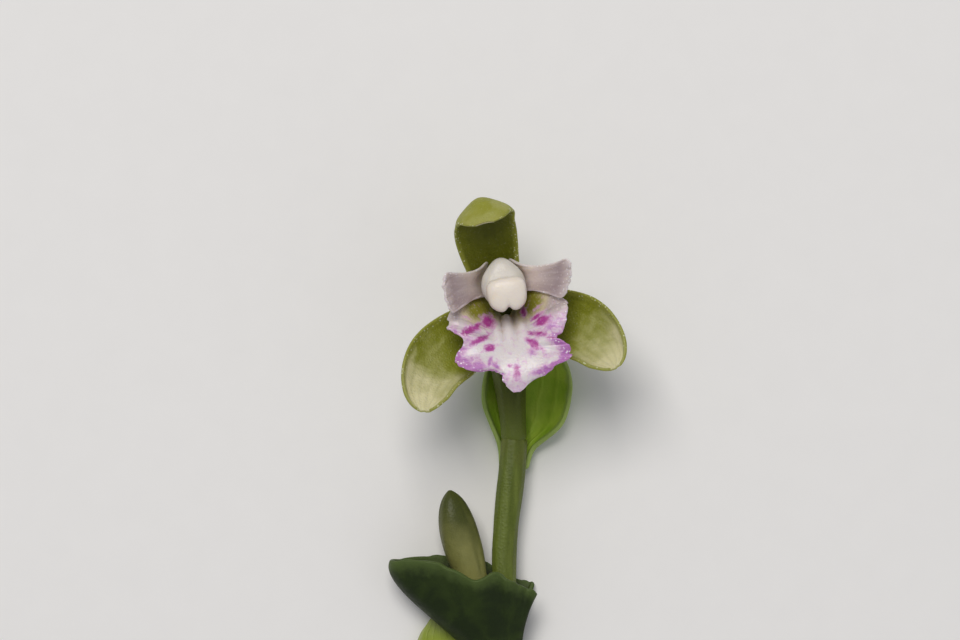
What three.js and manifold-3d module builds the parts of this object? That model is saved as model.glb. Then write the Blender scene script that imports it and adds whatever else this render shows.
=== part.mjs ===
// A picked flowering shoot of a small woodland orchid, laid on its back so that its one open flower faces up.
// Millimetres. +Z is up, the stem runs along -Y away from the flower, and +X is to the right of someone who looks
// down at the flower. The shoot is drawn from the flower's heart, the point where its sepals, petals, lip and
// column meet the ovary, and the whole group is then set on the surface with its box centred on the origin.
import * as THREE from "three";
import { mergeVertices } from "three/addons/utils/BufferGeometryUtils.js";
import Module from "manifold-3d";

const wasm = await Module();
wasm.setup();

// Driving dimensions
const HEART_HEIGHT = 3.6; // from the surface up to the flower's heart
const FLOWER_TURN = THREE.MathUtils.degToRad(8.5); // the flower's lean to its left, seen from the front
const BLADE = 0.6; // thickness of sepals, petals, lip and leaves
const RIM = 0.15; // how far a blade's rounded edge stands out past its outline
const GAP = 0.1; // clearance where two pieces meet
const STEM_NECK = 0.45; // radius of the stem inside a leaf's clasping base
const SHEATH_RADIUS = STEM_NECK + GAP + BLADE / 2; // middle of a blade that wraps the stem
const FLOOR = -HEART_HEIGHT;
const BLADE_ON_FLOOR = FLOOR + BLADE / 2; // middle of a blade that lies on the surface
const SLIVER = 0.004; // edges shorter than about this are joined up after a cut

const COLOURS = {
  sepal: { color: 0x8f9a3c, roughness: 0.55 },
  petal: { color: 0xc9b9c6, roughness: 0.5 },
  lip: { color: 0xe6dce6, roughness: 0.45 },
  column: { color: 0xe9e2d6, roughness: 0.5 },
  anther: { color: 0xf2ead6, roughness: 0.45 },
  stem: { color: 0x7c8c4a, roughness: 0.5 },
  bract: { color: 0x5f8a33, roughness: 0.5 },
  bud: { color: 0xa3a968, roughness: 0.55 },
  leaf: { color: 0x3d5a2c, roughness: 0.5 },
};

// Curves

// A value that runs smoothly through [position, value] knots.
function through(knots) {
  const slopes = knots.map((_, i) => {
    const a = knots[Math.max(0, i - 1)];
    const b = knots[Math.min(knots.length - 1, i + 1)];
    return (b[1] - a[1]) / (b[0] - a[0]);
  });
  return (s) => {
    let i = 0;
    while (i < knots.length - 2 && s > knots[i + 1][0]) i++;
    const [[s0, v0], [s1, v1]] = [knots[i], knots[i + 1]];
    const length = s1 - s0;
    const u = THREE.MathUtils.clamp((s - s0) / length, 0, 1);
    const rest = 1 - u;
    return (
      v0 * (1 + 2 * u) * rest * rest +
      slopes[i] * length * u * rest * rest +
      v1 * u * u * (3 - 2 * u) -
      slopes[i + 1] * length * u * u * rest
    );
  };
}

// A smooth line through points: share of its length from 0 to 1, to a point.
function lineThrough(points) {
  const at = [0];
  for (let i = 1; i < points.length; i++)
    at.push(at[i - 1] + Math.hypot(...points[i].map((v, k) => v - points[i - 1][k])));
  const length = at[at.length - 1];
  const axes = [0, 1, 2].map((k) => through(points.map((p, i) => [at[i] / length, p[k]])));
  return (s) => new THREE.Vector3(...axes.map((axis) => axis(s)));
}

// Where a line runs, across it and out of it: side is roughly the way across.
function frameOn(line, side, s) {
  const step = 1e-3;
  const before = line(Math.max(0, s - step));
  const along = line(Math.min(1, s + step)).sub(before).normalize();
  const out = new THREE.Vector3().crossVectors(side, along).normalize();
  const across = new THREE.Vector3().crossVectors(along, out);
  return { centre: line(s), along, across, out };
}

// Surfaces

// The middle surface of a sepal, petal or leaf: a midrib line, half-widths to either side, and a gutter whose
// edges turn through curl radians towards the blade's inner face. t runs from -1 to 1 across. end is the share of
// the midrib's length at which the blade ends there, and cup above 0 keeps the curl for the margins.
function blade({ midrib, sideAtBase, sideAtTip, left, right = left, curl, cup = 0, wave = () => 0, end = () => 1 }) {
  const line = lineThrough(midrib);
  const base = new THREE.Vector3(...sideAtBase);
  const tip = new THREE.Vector3(...sideAtTip);
  return (s, t) => {
    const { centre, across, out } = frameOn(line, base.clone().lerp(tip, s), s * end(t));
    const half = t < 0 ? left(s) : right(s);
    const bend = Math.max(1e-6, curl(s) * Math.abs(t) ** cup);
    return centre
      .addScaledVector(across, (half * Math.sin(bend * t)) / bend)
      .addScaledVector(out, (half * (1 - Math.cos(bend * t))) / bend + wave(s, t));
  };
}

// An ovate outline's half-width: widest at the given share of its length, then rounding off to the tip.
function ovate(base, widest, at, bluntness) {
  const tipHalf = 0.24;
  return (s) => {
    if (s < at) return base + (widest - base) * Math.sin((Math.PI / 2) * (s / at));
    const u = (s - at) / (1 - at);
    return Math.max(tipHalf, widest * Math.cos((Math.PI / 2) * u) ** bluntness);
  };
}

// Solids

// A closed body from faces that list vertex numbers, turned so that they point out.
function bodyOf(vertices, triangles) {
  const geometry = new THREE.BufferGeometry();
  geometry.setAttribute("position", new THREE.Float32BufferAttribute(vertices.flatMap((v) => v.toArray()), 3));
  geometry.setIndex(triangles.flat());
  const merged = mergeVertices(geometry, 1e-5);
  const made = new wasm.Manifold(
    new wasm.Mesh({
      numProp: 3,
      vertProperties: merged.attributes.position.array,
      triVerts: new Uint32Array(merged.index.array),
    }),
  );
  return made.volume() < 0 ? bodyOf(vertices, triangles.map(([a, b, c]) => [a, c, b])) : made;
}

// A blade of even thickness with a rounded edge, from its middle surface. Both faces are cut into triangles alike.
function shell(surface, { rows, columns, tipward = false, grow = 0 }) {
  const half = BLADE / 2 + grow;
  const rim = RIM + grow;
  const share = (i) => (tipward ? Math.sin(((Math.PI / 2) * i) / rows) : i / rows);
  const point = (i, j) => surface(share(i), (2 * j) / columns - 1);
  const step = 1e-3;
  const vertices = [];
  const triangles = [];
  const number = (i, j, face) => 2 * (i * (columns + 1) + j) + face;
  for (let i = 0; i <= rows; i++)
    for (let j = 0; j <= columns; j++) {
      const s = THREE.MathUtils.clamp(share(i), step, 1 - step);
      const t = THREE.MathUtils.clamp((2 * j) / columns - 1, step - 1, 1 - step);
      const alongS = surface(s + step, t).sub(surface(s - step, t));
      const alongT = surface(s, t + step).sub(surface(s, t - step));
      const normal = alongS.cross(alongT).normalize();
      vertices.push(point(i, j).addScaledVector(normal, half), point(i, j).addScaledVector(normal, -half));
    }
  for (let i = 0; i < rows; i++)
    for (let j = 0; j < columns; j++)
      for (const face of [0, 1]) {
        const corners = [number(i, j, face), number(i + 1, j, face), number(i + 1, j + 1, face), number(i, j + 1, face)];
        if (face) corners.reverse();
        const [a, b, c, d] = corners;
        triangles.push(...(face ? [[a, b, d], [b, c, d]] : [[a, b, c], [a, c, d]]));
      }
  // The edge: a ridge of points pushed out from the outline joins the two faces.
  const outline = [];
  for (let i = 0; i < rows; i++) outline.push([i, 0, i, 1]);
  for (let j = 0; j < columns; j++) outline.push([rows, j, rows - 1, j]);
  for (let i = rows; i > 0; i--) outline.push([i, columns, i, columns - 1]);
  for (let j = columns; j > 0; j--) outline.push([0, j, 1, j]);
  const ridge = outline.map(([i, j, inI, inJ]) => {
    const edge = point(i, j);
    const outward = edge.clone().sub(point(inI, inJ)).normalize();
    vertices.push(edge.addScaledVector(outward, rim));
    return vertices.length - 1;
  });
  outline.forEach(([i, j], k) => {
    const next = (k + 1) % outline.length;
    const [ni, nj] = outline[next];
    const [front, nextFront] = [number(i, j, 0), number(ni, nj, 0)];
    const [back, nextBack] = [number(i, j, 1), number(ni, nj, 1)];
    triangles.push([front, ridge[k], nextFront], [ridge[k], ridge[next], nextFront]);
    triangles.push([back, nextBack, ridge[k]], [nextBack, ridge[next], ridge[k]]);
  });
  return bodyOf(vertices, triangles);
}

// A solid stalk along a line. radius(s, angle) is its outline, with angle 0 along side.
function stalk({ points, side, radius, rows, sides, grow = 0 }) {
  const line = lineThrough(points);
  const guide = new THREE.Vector3(...side);
  const vertices = [];
  const triangles = [];
  for (let i = 0; i <= rows; i++) {
    const s = i / rows;
    const { centre, across, out } = frameOn(line, guide, s);
    for (let j = 0; j < sides; j++) {
      const angle = (2 * Math.PI * j) / sides;
      const r = radius(s, angle) + grow;
      vertices.push(
        centre.clone().addScaledVector(across, r * Math.cos(angle)).addScaledVector(out, r * Math.sin(angle)),
      );
    }
  }
  for (const s of [0, 1]) {
    const { centre, along } = frameOn(line, guide, s);
    vertices.push(centre.addScaledVector(along, s ? grow : -grow));
  }
  const [firstCap, lastCap] = [vertices.length - 2, vertices.length - 1];
  for (let j = 0; j < sides; j++) {
    const next = (j + 1) % sides;
    for (let i = 0; i < rows; i++) {
      const [a, b, c, d] = [i * sides + j, (i + 1) * sides + j, (i + 1) * sides + next, i * sides + next];
      triangles.push([a, b, c], [a, c, d]);
    }
    triangles.push([firstCap, j, next], [lastCap, rows * sides + next, rows * sides + j]);
  }
  return bodyOf(vertices, triangles);
}

// The largest body left after the cutters are taken away, without the slivers of the cuts.
function without(solid, ...cutters) {
  const left = cutters.reduce((rest, cutter) => rest.subtract(cutter), solid).simplify(SLIVER).decompose();
  return left.sort((a, b) => b.volume() - a.volume())[0];
}

// What rests on the surface is cut flat where it would dip below it.
const resting = (solid) => solid.trimByPlane([0, 0, 1], FLOOR);

// The flower's own frame leans over in the shoot.
const leaning = (solid) => solid.rotate(0, 0, THREE.MathUtils.radToDeg(FLOWER_TURN));

// Flower, in its own frame: x to the right, y up the flower, z towards whoever looks into it

const SEPAL_GRID = { rows: 18, columns: 8, tipward: true };
const PETAL_GRID = { rows: 14, columns: 8, tipward: true };

// Behind the column, then hooded forward over it, with a keel along the hood.
const dorsalSepal = blade({
  midrib: [
    [-0.1, 0.6, 0.25],
    [-0.25, 1.7, 0.85],
    [-0.38, 2.95, 1.5],
    [-0.46, 4.1, 2.1],
    [-0.48, 4.9, 2.75],
    [-0.47, 5.14, 3.5],
    [-0.45, 4.85, 4.3],
    [-0.42, 4.2, 4.85],
  ],
  sideAtBase: [1, 0.1, 0],
  sideAtTip: [1, 0.14, 0.02],
  left: through([
    [0, 0.6], [0.18, 1.15], [0.35, 1.42], [0.5, 1.62], [0.65, 1.78], [0.8, 1.72], [0.92, 1.3], [0.97, 0.9], [1, 0.4],
  ]),
  curl: through([[0, 0.5], [0.35, 0.6], [0.5, 0.8], [0.65, 1.15], [0.8, 1.05], [0.9, 0.8], [1, 0.45]]),
  wave: (s, t) =>
    -0.2 *
    Math.exp(-((t / 0.3) ** 2)) *
    THREE.MathUtils.smoothstep(s, 0.4, 0.65) *
    (1 - THREE.MathUtils.smoothstep(s, 0.8, 0.97)),
});

// The lateral sepals are boat-shaped: flat along the middle, with margins that turn in.
const SEPAL_CURL = through([[0, 0.45], [0.5, 0.75], [0.75, 0.95], [0.9, 0.7], [1, 0.3]]);
const SEPAL_CUP = 0.9;

// Out, down and forward on the left, with its cupped tip turned up.
const leftSepal = blade({
  midrib: [
    [-0.5, -0.35, 0.2],
    [-1.35, -0.9, 0.75],
    [-2.45, -1.5, 1.4],
    [-3.5, -2.3, 2.0],
    [-4.2, -3.2, 2.75],
    [-4.6, -4.1, 3.6],
    [-4.75, -4.55, 4.35],
  ],
  sideAtBase: [-0.5, 0.85, 0],
  sideAtTip: [-0.98, 0.2, 0],
  left: ovate(0.6, 1.7, 0.55, 0.6),
  right: ovate(0.6, 1.8, 0.6, 0.55),
  curl: SEPAL_CURL,
  cup: SEPAL_CUP,
});

// The same on the right, a little shorter and held further out.
const rightSepal = blade({
  midrib: [
    [0.5, -0.35, 0.2],
    [1.4, -0.75, 0.75],
    [2.55, -1.2, 1.4],
    [3.6, -1.85, 2.0],
    [4.35, -2.7, 2.75],
    [4.8, -3.45, 3.6],
    [4.98, -3.82, 4.35],
  ],
  sideAtBase: [-0.4, -0.9, 0],
  sideAtTip: [-0.95, -0.35, 0],
  left: ovate(0.6, 1.75, 0.6, 0.55),
  right: ovate(0.6, 1.6, 0.6, 0.55),
  curl: SEPAL_CURL,
  cup: SEPAL_CUP,
});

// Forward beside the column, then spread out to a blunt end. hand is -1 for the left petal and 1 for the right, and
// slant is how much shorter the lower margin is than the upper one.
function petal({ hand, reach, height, slant, upper }) {
  const lower = through([[0, 0.4], [0.25, 0.6], [0.5, 0.5], [0.75, 0.68], [0.93, 0.9], [1, 0.66]]);
  return blade({
    midrib: [
      [hand * 0.85, 0.9, 0.75],
      [hand * 1.15, 1.2, 1.7],
      [hand * 1.5, 1.12, 2.7],
      [hand * (0.45 + 0.55 * reach), 1.0 + 0.3 * height, 3.6],
      [hand * (0.15 + 0.85 * reach), 0.92 + 0.7 * height, 4.35],
      [hand * reach, 0.88 + height, 4.9],
    ],
    sideAtBase: [0, -hand, 0],
    sideAtTip: [0, -hand, 0],
    left: hand < 0 ? lower : upper,
    right: hand < 0 ? upper : lower,
    curl: through([[0, 0.3], [0.25, 0.95], [0.6, 0.4], [1, 0.2]]),
    end: (t) => 1 - slant * ((1 + hand * t) / 2) ** 1.5,
  });
}
const leftPetal = petal({
  hand: -1,
  reach: 2.95,
  height: 0.12,
  slant: 0.04,
  upper: through([[0, 0.7], [0.15, 1.25], [0.3, 0.9], [0.5, 0.76], [0.75, 0.84], [0.93, 0.93], [1, 0.66]]),
});
const rightPetal = petal({
  hand: 1,
  reach: 3.62,
  height: 0.0,
  slant: 0.2,
  upper: through([[0, 0.7], [0.15, 1.2], [0.3, 0.85], [0.5, 0.6], [0.75, 0.66], [0.93, 0.84], [1, 0.62]]),
});

// The lip: a trough round the column's underside whose side lobes flare, then a mid-lobe that hangs, spreads to either
// side and ends in a point.
const LIP_MIDRIB = [
  [0, -0.72, 0.62],
  [0, -0.8, 1.35],
  [0, -0.95, 2.3],
  [0, -1.3, 3.25],
  [0, -1.85, 4.05],
  [0, -2.65, 4.6],
  [-0.02, -3.6, 4.85],
  [-0.05, -4.4, 4.8],
];
const LIP_TROUGH = [[0, 0.7], [0.12, 1.2], [0.3, 1.95]];
const lipLeft = through([
  ...LIP_TROUGH,
  [0.4, 2.7], [0.47, 2.92], [0.53, 2.7], [0.575, 2.25], [0.61, 2.5], [0.65, 2.74], [0.695, 2.62], [0.735, 2.15],
  [0.765, 1.55], [0.79, 1.15], [0.83, 0.78], [0.88, 0.56], [0.95, 0.38], [1, 0.12],
]);
const lipRight = through([
  ...LIP_TROUGH,
  [0.4, 2.75], [0.47, 3.02], [0.53, 2.83], [0.59, 2.3], [0.635, 2.0], [0.67, 2.4], [0.715, 2.76], [0.77, 2.82],
  [0.81, 2.6], [0.835, 2.15], [0.86, 1.8], [0.885, 1.5], [0.91, 1.15], [0.935, 0.8], [0.965, 0.48], [1, 0.12],
]);
const lipLift = through([
  [0, 0.8], [0.12, 1.6], [0.22, 1.7], [0.3, 1.5], [0.4, 1.25], [0.47, 0.95], [0.6, 0.35], [0.7, 0.1], [1, -0.05],
]);
const lipDroop = through([[0, 0], [0.58, 0], [0.64, 0.1], [0.69, 0.22], [0.74, 0.16], [0.79, -0.1], [0.84, -0.04], [1, 0]]);
const lipLine = lineThrough(LIP_MIDRIB);
const LIP_SIDE = new THREE.Vector3(-1, 0, 0);
const LIP_RUFFLE = { height: 0.2, waves: 34 };

// t is -1 at the right margin and 1 at the left, and the lip's upper face is its inner face.
function lip(s, t) {
  const { centre, along, across, out } = frameOn(lipLine, LIP_SIDE, s);
  const edge = Math.abs(t);
  const half = t < 0 ? lipRight(s) : lipLeft(s);
  const frill = edge ** 3 * THREE.MathUtils.smoothstep(s, 0.3, 0.6) * THREE.MathUtils.smoothstep(half, 0.3, 2);
  const rise = lipLift(s) * THREE.MathUtils.smoothstep(edge, 0.25, 0.95);
  const ruffle = frill * Math.sin(LIP_RUFFLE.waves * s + 2 * t);
  return centre
    .addScaledVector(across, t * half)
    .addScaledVector(out, rise + LIP_RUFFLE.height * ruffle)
    .addScaledVector(along, t > 0 ? lipDroop(s) * t * t : 0);
}

// Three fleshy keels run along the middle of the lip.
const KEEL = { radius: 0.17, from: 0.14, to: 0.58, across: [-0.6, -0.02, 0.68], stand: 0.28 };
function keel(x) {
  const spots = [0, 0.25, 0.5, 0.75, 1].map((share) => {
    const s = KEEL.from + (KEEL.to - KEEL.from) * share;
    const { out } = frameOn(lipLine, LIP_SIDE, s);
    const foot = lip(s, -x / (x < 0 ? lipLeft(s) : lipRight(s)));
    return foot.addScaledVector(out, KEEL.stand * Math.sin(Math.PI * (0.2 + 0.7 * share)) + 0.1).toArray();
  });
  return stalk({ points: spots, side: [1, 0, 0], radius: () => KEEL.radius, rows: 8, sides: 8 });
}

function lipSolid(grow = 0) {
  const apron = shell(lip, { rows: 42, columns: 20, grow });
  return grow ? apron : KEEL.across.reduce((body, x) => body.add(keel(x)), apron);
}

// The column, a club that widens to a peaked hood round the anther cap.
const COLUMN_LINE = [[0, 0.4, 0.1], [0.03, 0.62, 1.4], [0.05, 0.85, 2.7], [0.08, 1.0, 3.6], [0.1, 1.05, 4.25]];
const columnWide = through([[0, 0.4], [0.3, 0.55], [0.6, 0.9], [0.82, 1.12], [0.93, 1.05], [1, 0.8]]);
const columnHigh = through([[0, 0.4], [0.3, 0.5], [0.6, 0.9], [0.82, 1.15], [0.93, 1.1], [1, 0.85]]);
const HOOD_PEAK = { height: 0.24, spread: 0.45 };
const columnSolid = (grow = 0) =>
  stalk({
    points: COLUMN_LINE,
    side: [-1, 0, 0],
    radius: (s, angle) => {
      const oval = 1 / Math.hypot(Math.cos(angle) / columnWide(s), Math.sin(angle) / columnHigh(s));
      return oval + HOOD_PEAK.height * Math.exp(-(((angle - Math.PI / 2) / HOOD_PEAK.spread) ** 2));
    },
    rows: 12,
    sides: 20,
    grow,
  });

// The anther cap: a rounded block over the column's end, cleft below into two lobes.
const ANTHER_LINE = [[0.15, 0.58, 3.75], [0.17, 0.55, 4.3], [0.19, 0.53, 4.7], [0.2, 0.52, 5.0]];
const antherSwell = through([[0, 0.8], [0.35, 0.98], [0.65, 1], [0.85, 0.95], [0.95, 0.84], [1, 0.68]]);
const ANTHER = { wide: 1.0, high: 0.84, square: 3, taper: 0.08, cleft: 0.22, cleftSpread: 0.2 };
const antherSolid = (grow = 0) =>
  stalk({
    points: ANTHER_LINE,
    side: [-1, 0, 0],
    radius: (s, angle) => {
      const wide = ANTHER.wide * (1 + ANTHER.taper * Math.sin(angle));
      const block =
        (Math.abs(Math.cos(angle) / wide) ** ANTHER.square +
          Math.abs(Math.sin(angle) / ANTHER.high) ** ANTHER.square) ** (-1 / ANTHER.square);
      const cleft = ANTHER.cleft * Math.exp(-(((angle - (3 * Math.PI) / 2) / ANTHER.cleftSpread) ** 2));
      return antherSwell(s) * (block - cleft);
    },
    rows: 10,
    sides: 32,
    grow,
  });

// Stalks and leaves, in the shoot's frame, with the flower's heart at the origin

// The ovary hangs back from the flower to the top of the stem, swollen and with six ribs.
const ovaryRadius = through([[0, 0.66], [0.15, 0.82], [0.35, 0.92], [0.6, 0.8], [0.85, 0.66], [1, 0.64]]);
const OVARY_RIB = 0.05;
const ovarySolid = (grow = 0) =>
  stalk({
    points: [[0, -0.05, -0.25], [0.05, -0.95, -0.95], [0.15, -2.4, -1.6], [0.3, -4.2, -1.95], [0.43, -5.8, -2.15], [0.49, -6.8, -2.25]],
    side: [1, 0, 0],
    radius: (s, angle) => ovaryRadius(s) + OVARY_RIB * Math.cos(6 * angle) * Math.sin(Math.PI * s),
    rows: 14,
    sides: 18,
    grow,
  });

// The stem bends a little at each leaf, is thickest under the bract and narrow where a leaf clasps it.
const STEM_LINE = [
  [0.49, -6.93, -2.27],
  [0.32, -8.9, -2.22],
  [0.08, -11, -2.22],
  [-0.03, -13.2, -2.24],
  [0.02, -15.4, -2.26],
  [0.05, -17.6, -2.26],
  [0.12, -20, -2.26],
  [0.1, -22.2, -2.32],
  [0.2, -24.5, -3.07],
];
const stemRadius = through([
  [0, 0.68], [0.12, 0.71], [0.25, 0.66], [0.42, 0.62], [0.5, 0.52], [0.66, STEM_NECK], [0.74, 0.6], [0.84, 0.66],
  [0.9, 0.6], [1, 0.62],
]);
const stemSolid = (grow = 0) =>
  stalk({
    points: STEM_LINE,
    side: [1, 0, 0],
    radius: (s, angle) => stemRadius(s) * (0.97 + 0.04 * Math.cos(3 * angle + 2 * s)),
    rows: 28,
    sides: 12,
    grow,
  });

// The bract under the ovary: a cupped leaf whose back lies on the surface and whose right side stands wider.
const bract = blade({
  midrib: [
    [0.48, -8.4, BLADE_ON_FLOOR + 0.25],
    [0.6, -7.0, BLADE_ON_FLOOR + 0.02],
    [0.85, -5.2, BLADE_ON_FLOOR - 0.03],
    [1.1, -3.6, BLADE_ON_FLOOR - 0.03],
    [1.3, -2.3, BLADE_ON_FLOOR + 0.15],
    [1.4, -1.3, BLADE_ON_FLOOR + 0.55],
  ],
  sideAtBase: [1, 0, 0],
  sideAtTip: [1, 0, 0],
  left: through([[0, 0.7], [0.15, 0.95], [0.3, 1.7], [0.42, 2.25], [0.58, 2.35], [0.75, 2.0], [0.9, 1.2], [1, 0.15]]),
  right: through([[0, 0.7], [0.15, 1.0], [0.3, 2.0], [0.42, 2.65], [0.58, 2.75], [0.75, 2.3], [0.9, 1.3], [1, 0.15]]),
  curl: through([[0, 1.2], [0.2, 1.25], [0.4, 1.15], [0.6, 1.0], [1, 0.5]]),
  cup: 0.8,
  wave: (s, t) => 0.14 * Math.abs(t) ** 3 * Math.sin(19 * s + 2 * t),
});

// The dark middle leaf clasps the stem and spreads to the left. s is the way up from its foot, and t is the way
// round the stem: 0 at the midrib, 1 at the lobe in front and -1 at the lobe behind.
const MIDDLE_LEAF = { x: 0.03, foot: -18.3, z: -2.26, wrap: THREE.MathUtils.degToRad(150), tilt: 0.5, depth: 1.1 };
const middleReach = (turn) => 0.95 + 2.7 * ((1 + Math.cos(turn)) / 2) ** 2 + 1.4 * Math.exp(-((turn / 0.42) ** 2));
const middleHeight = through([
  [-1, 4.0], [-0.7, 4.3], [-0.45, 5.15], [-0.25, 5.45], [0, 5.15], [0.18, 5.2], [0.33, 4.45], [0.42, 4.2], [0.52, 4.75],
  [0.62, 4.35], [0.75, 4.05], [1, 3.6],
]);
function middleLeaf(s, t) {
  const turn = MIDDLE_LEAF.wrap * t;
  const facing = (1 + Math.cos(turn)) / 2; // 1 at the midrib, towards 0 at the lobes
  const flare = 2.4 - 1.4 * facing;
  const ripple = 0.16 * s ** 4 * Math.sin(8 * turn + 1);
  const r = SHEATH_RADIUS + middleReach(turn) * s ** flare + ripple;
  const outward = r * Math.cos(turn);
  const up = r * Math.sin(turn);
  // Behind, the leaf is pressed against the surface; in front it leans back over the stem, and its tip is raised.
  const pressed = -((Math.max(-up, 1e-3) ** -6 + MIDDLE_LEAF.depth ** -6) ** (-1 / 6));
  const leaned = up > SHEATH_RADIUS ? SHEATH_RADIUS + MIDDLE_LEAF.tilt * (up - SHEATH_RADIUS) : up;
  const raised = 0.5 * s ** 2 * facing * THREE.MathUtils.smoothstep(turn, -0.9, 0);
  return new THREE.Vector3(
    MIDDLE_LEAF.x - outward,
    MIDDLE_LEAF.foot + middleHeight(t) * s,
    MIDDLE_LEAF.z + (up < 0 ? pressed : leaned) + raised,
  );
}

// The lower leaf lies on the surface to the left, under the middle one.
const lowerLeaf = blade({
  midrib: [
    [0.1, -22.1, BLADE_ON_FLOOR + 0.04],
    [-1.2, -20.7, BLADE_ON_FLOOR],
    [-2.5, -19.0, BLADE_ON_FLOOR - 0.03],
    [-3.2, -17.4, BLADE_ON_FLOOR - 0.03],
    [-3.35, -15.9, BLADE_ON_FLOOR + 0.1],
  ],
  sideAtBase: [0.6, 0.8, 0],
  sideAtTip: [1, 0.1, 0],
  left: ovate(0.7, 1.9, 0.5, 0.75),
  right: ovate(0.5, 1.3, 0.5, 0.75),
  curl: through([[0, 0.35], [0.5, 0.3], [1, 0.3]]),
  wave: (s, t) => 0.1 * Math.abs(t) ** 3 * Math.sin(19 * s + t),
});

// The bud stands in the middle leaf's axil beside the stem: a short stalk, its own ovary and closed sepals.
const budRadius = through([[0, 0.3], [0.18, 0.42], [0.36, 0.85], [0.55, 1.06], [0.75, 0.95], [0.9, 0.6], [0.97, 0.32], [1, 0.1]]);
const budSolid = () =>
  stalk({
    points: [
      [-0.95, -16.5, -2.15],
      [-1.2, -15.2, -2.15],
      [-1.75, -13.7, -2.1],
      [-2.2, -12.3, -1.95],
      [-2.55, -10.9, -1.6],
      [-2.8, -9.5, -1.3],
    ],
    side: [1, 0, 0],
    radius: (s, angle) => budRadius(s) * (1 + 0.05 * Math.cos(3 * angle)),
    rows: 14,
    sides: 15,
  });

// Assembly

const BRACT_GRID = { rows: 16, columns: 10, tipward: true };
const MIDDLE_GRID = { rows: 12, columns: 22 };
const LOWER_GRID = { rows: 16, columns: 8, tipward: true };
const cutter = { column: leaning(columnSolid(GAP)), stem: stemSolid(GAP), ovary: ovarySolid(GAP) };
const cut = (surface, grid) => leaning(shell(surface, { ...grid, grow: GAP }));
const sepalCutters = [dorsalSepal, leftSepal, rightSepal].map((surface) => cut(surface, SEPAL_GRID));
const lipCutter = leaning(lipSolid(GAP));

const solids = {
  stem: [resting(stemSolid()), "stem"],
  ovary: [ovarySolid(), "stem"],
  floral_bract: [without(resting(shell(bract, BRACT_GRID)), cutter.stem, cutter.ovary), "bract"],
  dorsal_sepal: [without(leaning(shell(dorsalSepal, SEPAL_GRID)), cutter.column, cutter.ovary), "sepal"],
  lateral_sepal_left: [
    without(leaning(shell(leftSepal, SEPAL_GRID)), cutter.column, cutter.ovary, sepalCutters[0]),
    "sepal",
  ],
  lateral_sepal_right: [
    without(leaning(shell(rightSepal, SEPAL_GRID)), cutter.column, cutter.ovary, sepalCutters[0], sepalCutters[1]),
    "sepal",
  ],
  lip: [without(leaning(lipSolid()), cutter.column, cutter.ovary, ...sepalCutters), "lip"],
  petal_left: [without(leaning(shell(leftPetal, PETAL_GRID)), cutter.column, lipCutter, ...sepalCutters), "petal"],
  petal_right: [without(leaning(shell(rightPetal, PETAL_GRID)), cutter.column, lipCutter, ...sepalCutters), "petal"],
  column: [without(leaning(columnSolid()), leaning(antherSolid(GAP))), "column"],
  anther_cap: [leaning(antherSolid()), "anther"],
  middle_leaf: [without(resting(shell(middleLeaf, MIDDLE_GRID)), cutter.stem), "leaf"],
  lower_leaf: [
    without(resting(shell(lowerLeaf, LOWER_GRID)), cutter.stem, shell(middleLeaf, { ...MIDDLE_GRID, grow: GAP })),
    "leaf",
  ],
  flower_bud: [
    without(budSolid(), cutter.stem, shell(middleLeaf, { ...MIDDLE_GRID, grow: GAP })),
    "bud",
  ],
};

function meshOf(name, solid, colour) {
  const { vertProperties, triVerts } = solid.getMesh();
  const geometry = new THREE.BufferGeometry();
  geometry.setAttribute("position", new THREE.BufferAttribute(vertProperties, 3));
  geometry.setIndex(new THREE.BufferAttribute(triVerts, 1));
  const mesh = new THREE.Mesh(geometry, new THREE.MeshStandardMaterial({ ...COLOURS[colour], metalness: 0 }));
  mesh.name = name;
  return mesh;
}

const shoot = new THREE.Group();
for (const [name, [solid, colour]] of Object.entries(solids)) shoot.add(meshOf(name, solid, colour));
const box = new THREE.Box3().setFromObject(shoot);
const middle = box.getCenter(new THREE.Vector3());
shoot.position.set(-middle.x, -middle.y, -box.min.z);

export default shoot;
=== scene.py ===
import logging
import math
from dataclasses import dataclass
from enum import Enum

import bpy
import numpy as np
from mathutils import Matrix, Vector


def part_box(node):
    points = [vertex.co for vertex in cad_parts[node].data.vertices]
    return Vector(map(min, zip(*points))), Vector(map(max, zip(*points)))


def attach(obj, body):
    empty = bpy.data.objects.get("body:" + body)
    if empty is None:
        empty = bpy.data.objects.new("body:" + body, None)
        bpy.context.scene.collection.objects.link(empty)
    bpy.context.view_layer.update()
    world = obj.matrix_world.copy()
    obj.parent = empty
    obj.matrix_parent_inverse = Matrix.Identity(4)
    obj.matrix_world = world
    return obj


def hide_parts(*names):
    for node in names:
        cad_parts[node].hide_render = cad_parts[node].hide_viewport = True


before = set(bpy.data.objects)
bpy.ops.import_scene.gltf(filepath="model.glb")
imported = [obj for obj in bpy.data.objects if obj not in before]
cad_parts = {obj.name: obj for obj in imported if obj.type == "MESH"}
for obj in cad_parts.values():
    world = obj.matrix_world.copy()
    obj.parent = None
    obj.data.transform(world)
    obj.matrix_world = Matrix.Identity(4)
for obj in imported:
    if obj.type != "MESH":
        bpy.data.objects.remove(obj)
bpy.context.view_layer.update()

MM = 0.001
SMALL_STEP = 1e-3
NEAR_ZERO = 1e-4
SUBDIVISIONS = 1

Numbers = np.ndarray
Point = tuple[float, float, float]
Colour = tuple[float, float, float]
Piece = bpy.types.Object
Material = bpy.types.Material
Socket = bpy.types.NodeSocket
Value = Socket | float | Colour
Values = dict[int | str, Value]

log = logging.getLogger("orchid_shoot")


class Hand(Enum):
    """The side of the flower, as seen by whoever looks into it."""

    LEFT = -1
    RIGHT = 1


class Mark(Enum):
    """What the vertices of a piece carry for its finish to read."""

    ALONG = "along"
    ACROSS = "across"
    OUTER = "outer"
    BLOTCH = "blotch"
    MARGIN = "margin"
    # Painted shade on the lip's upper side lobes.
    HAZE = "lilac_haze_and_lobe_shade"
    # The lip's green throat with its painted shade, and the painted shade of the petals' lower halves.
    THROAT = "throat"


# Curves


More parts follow.
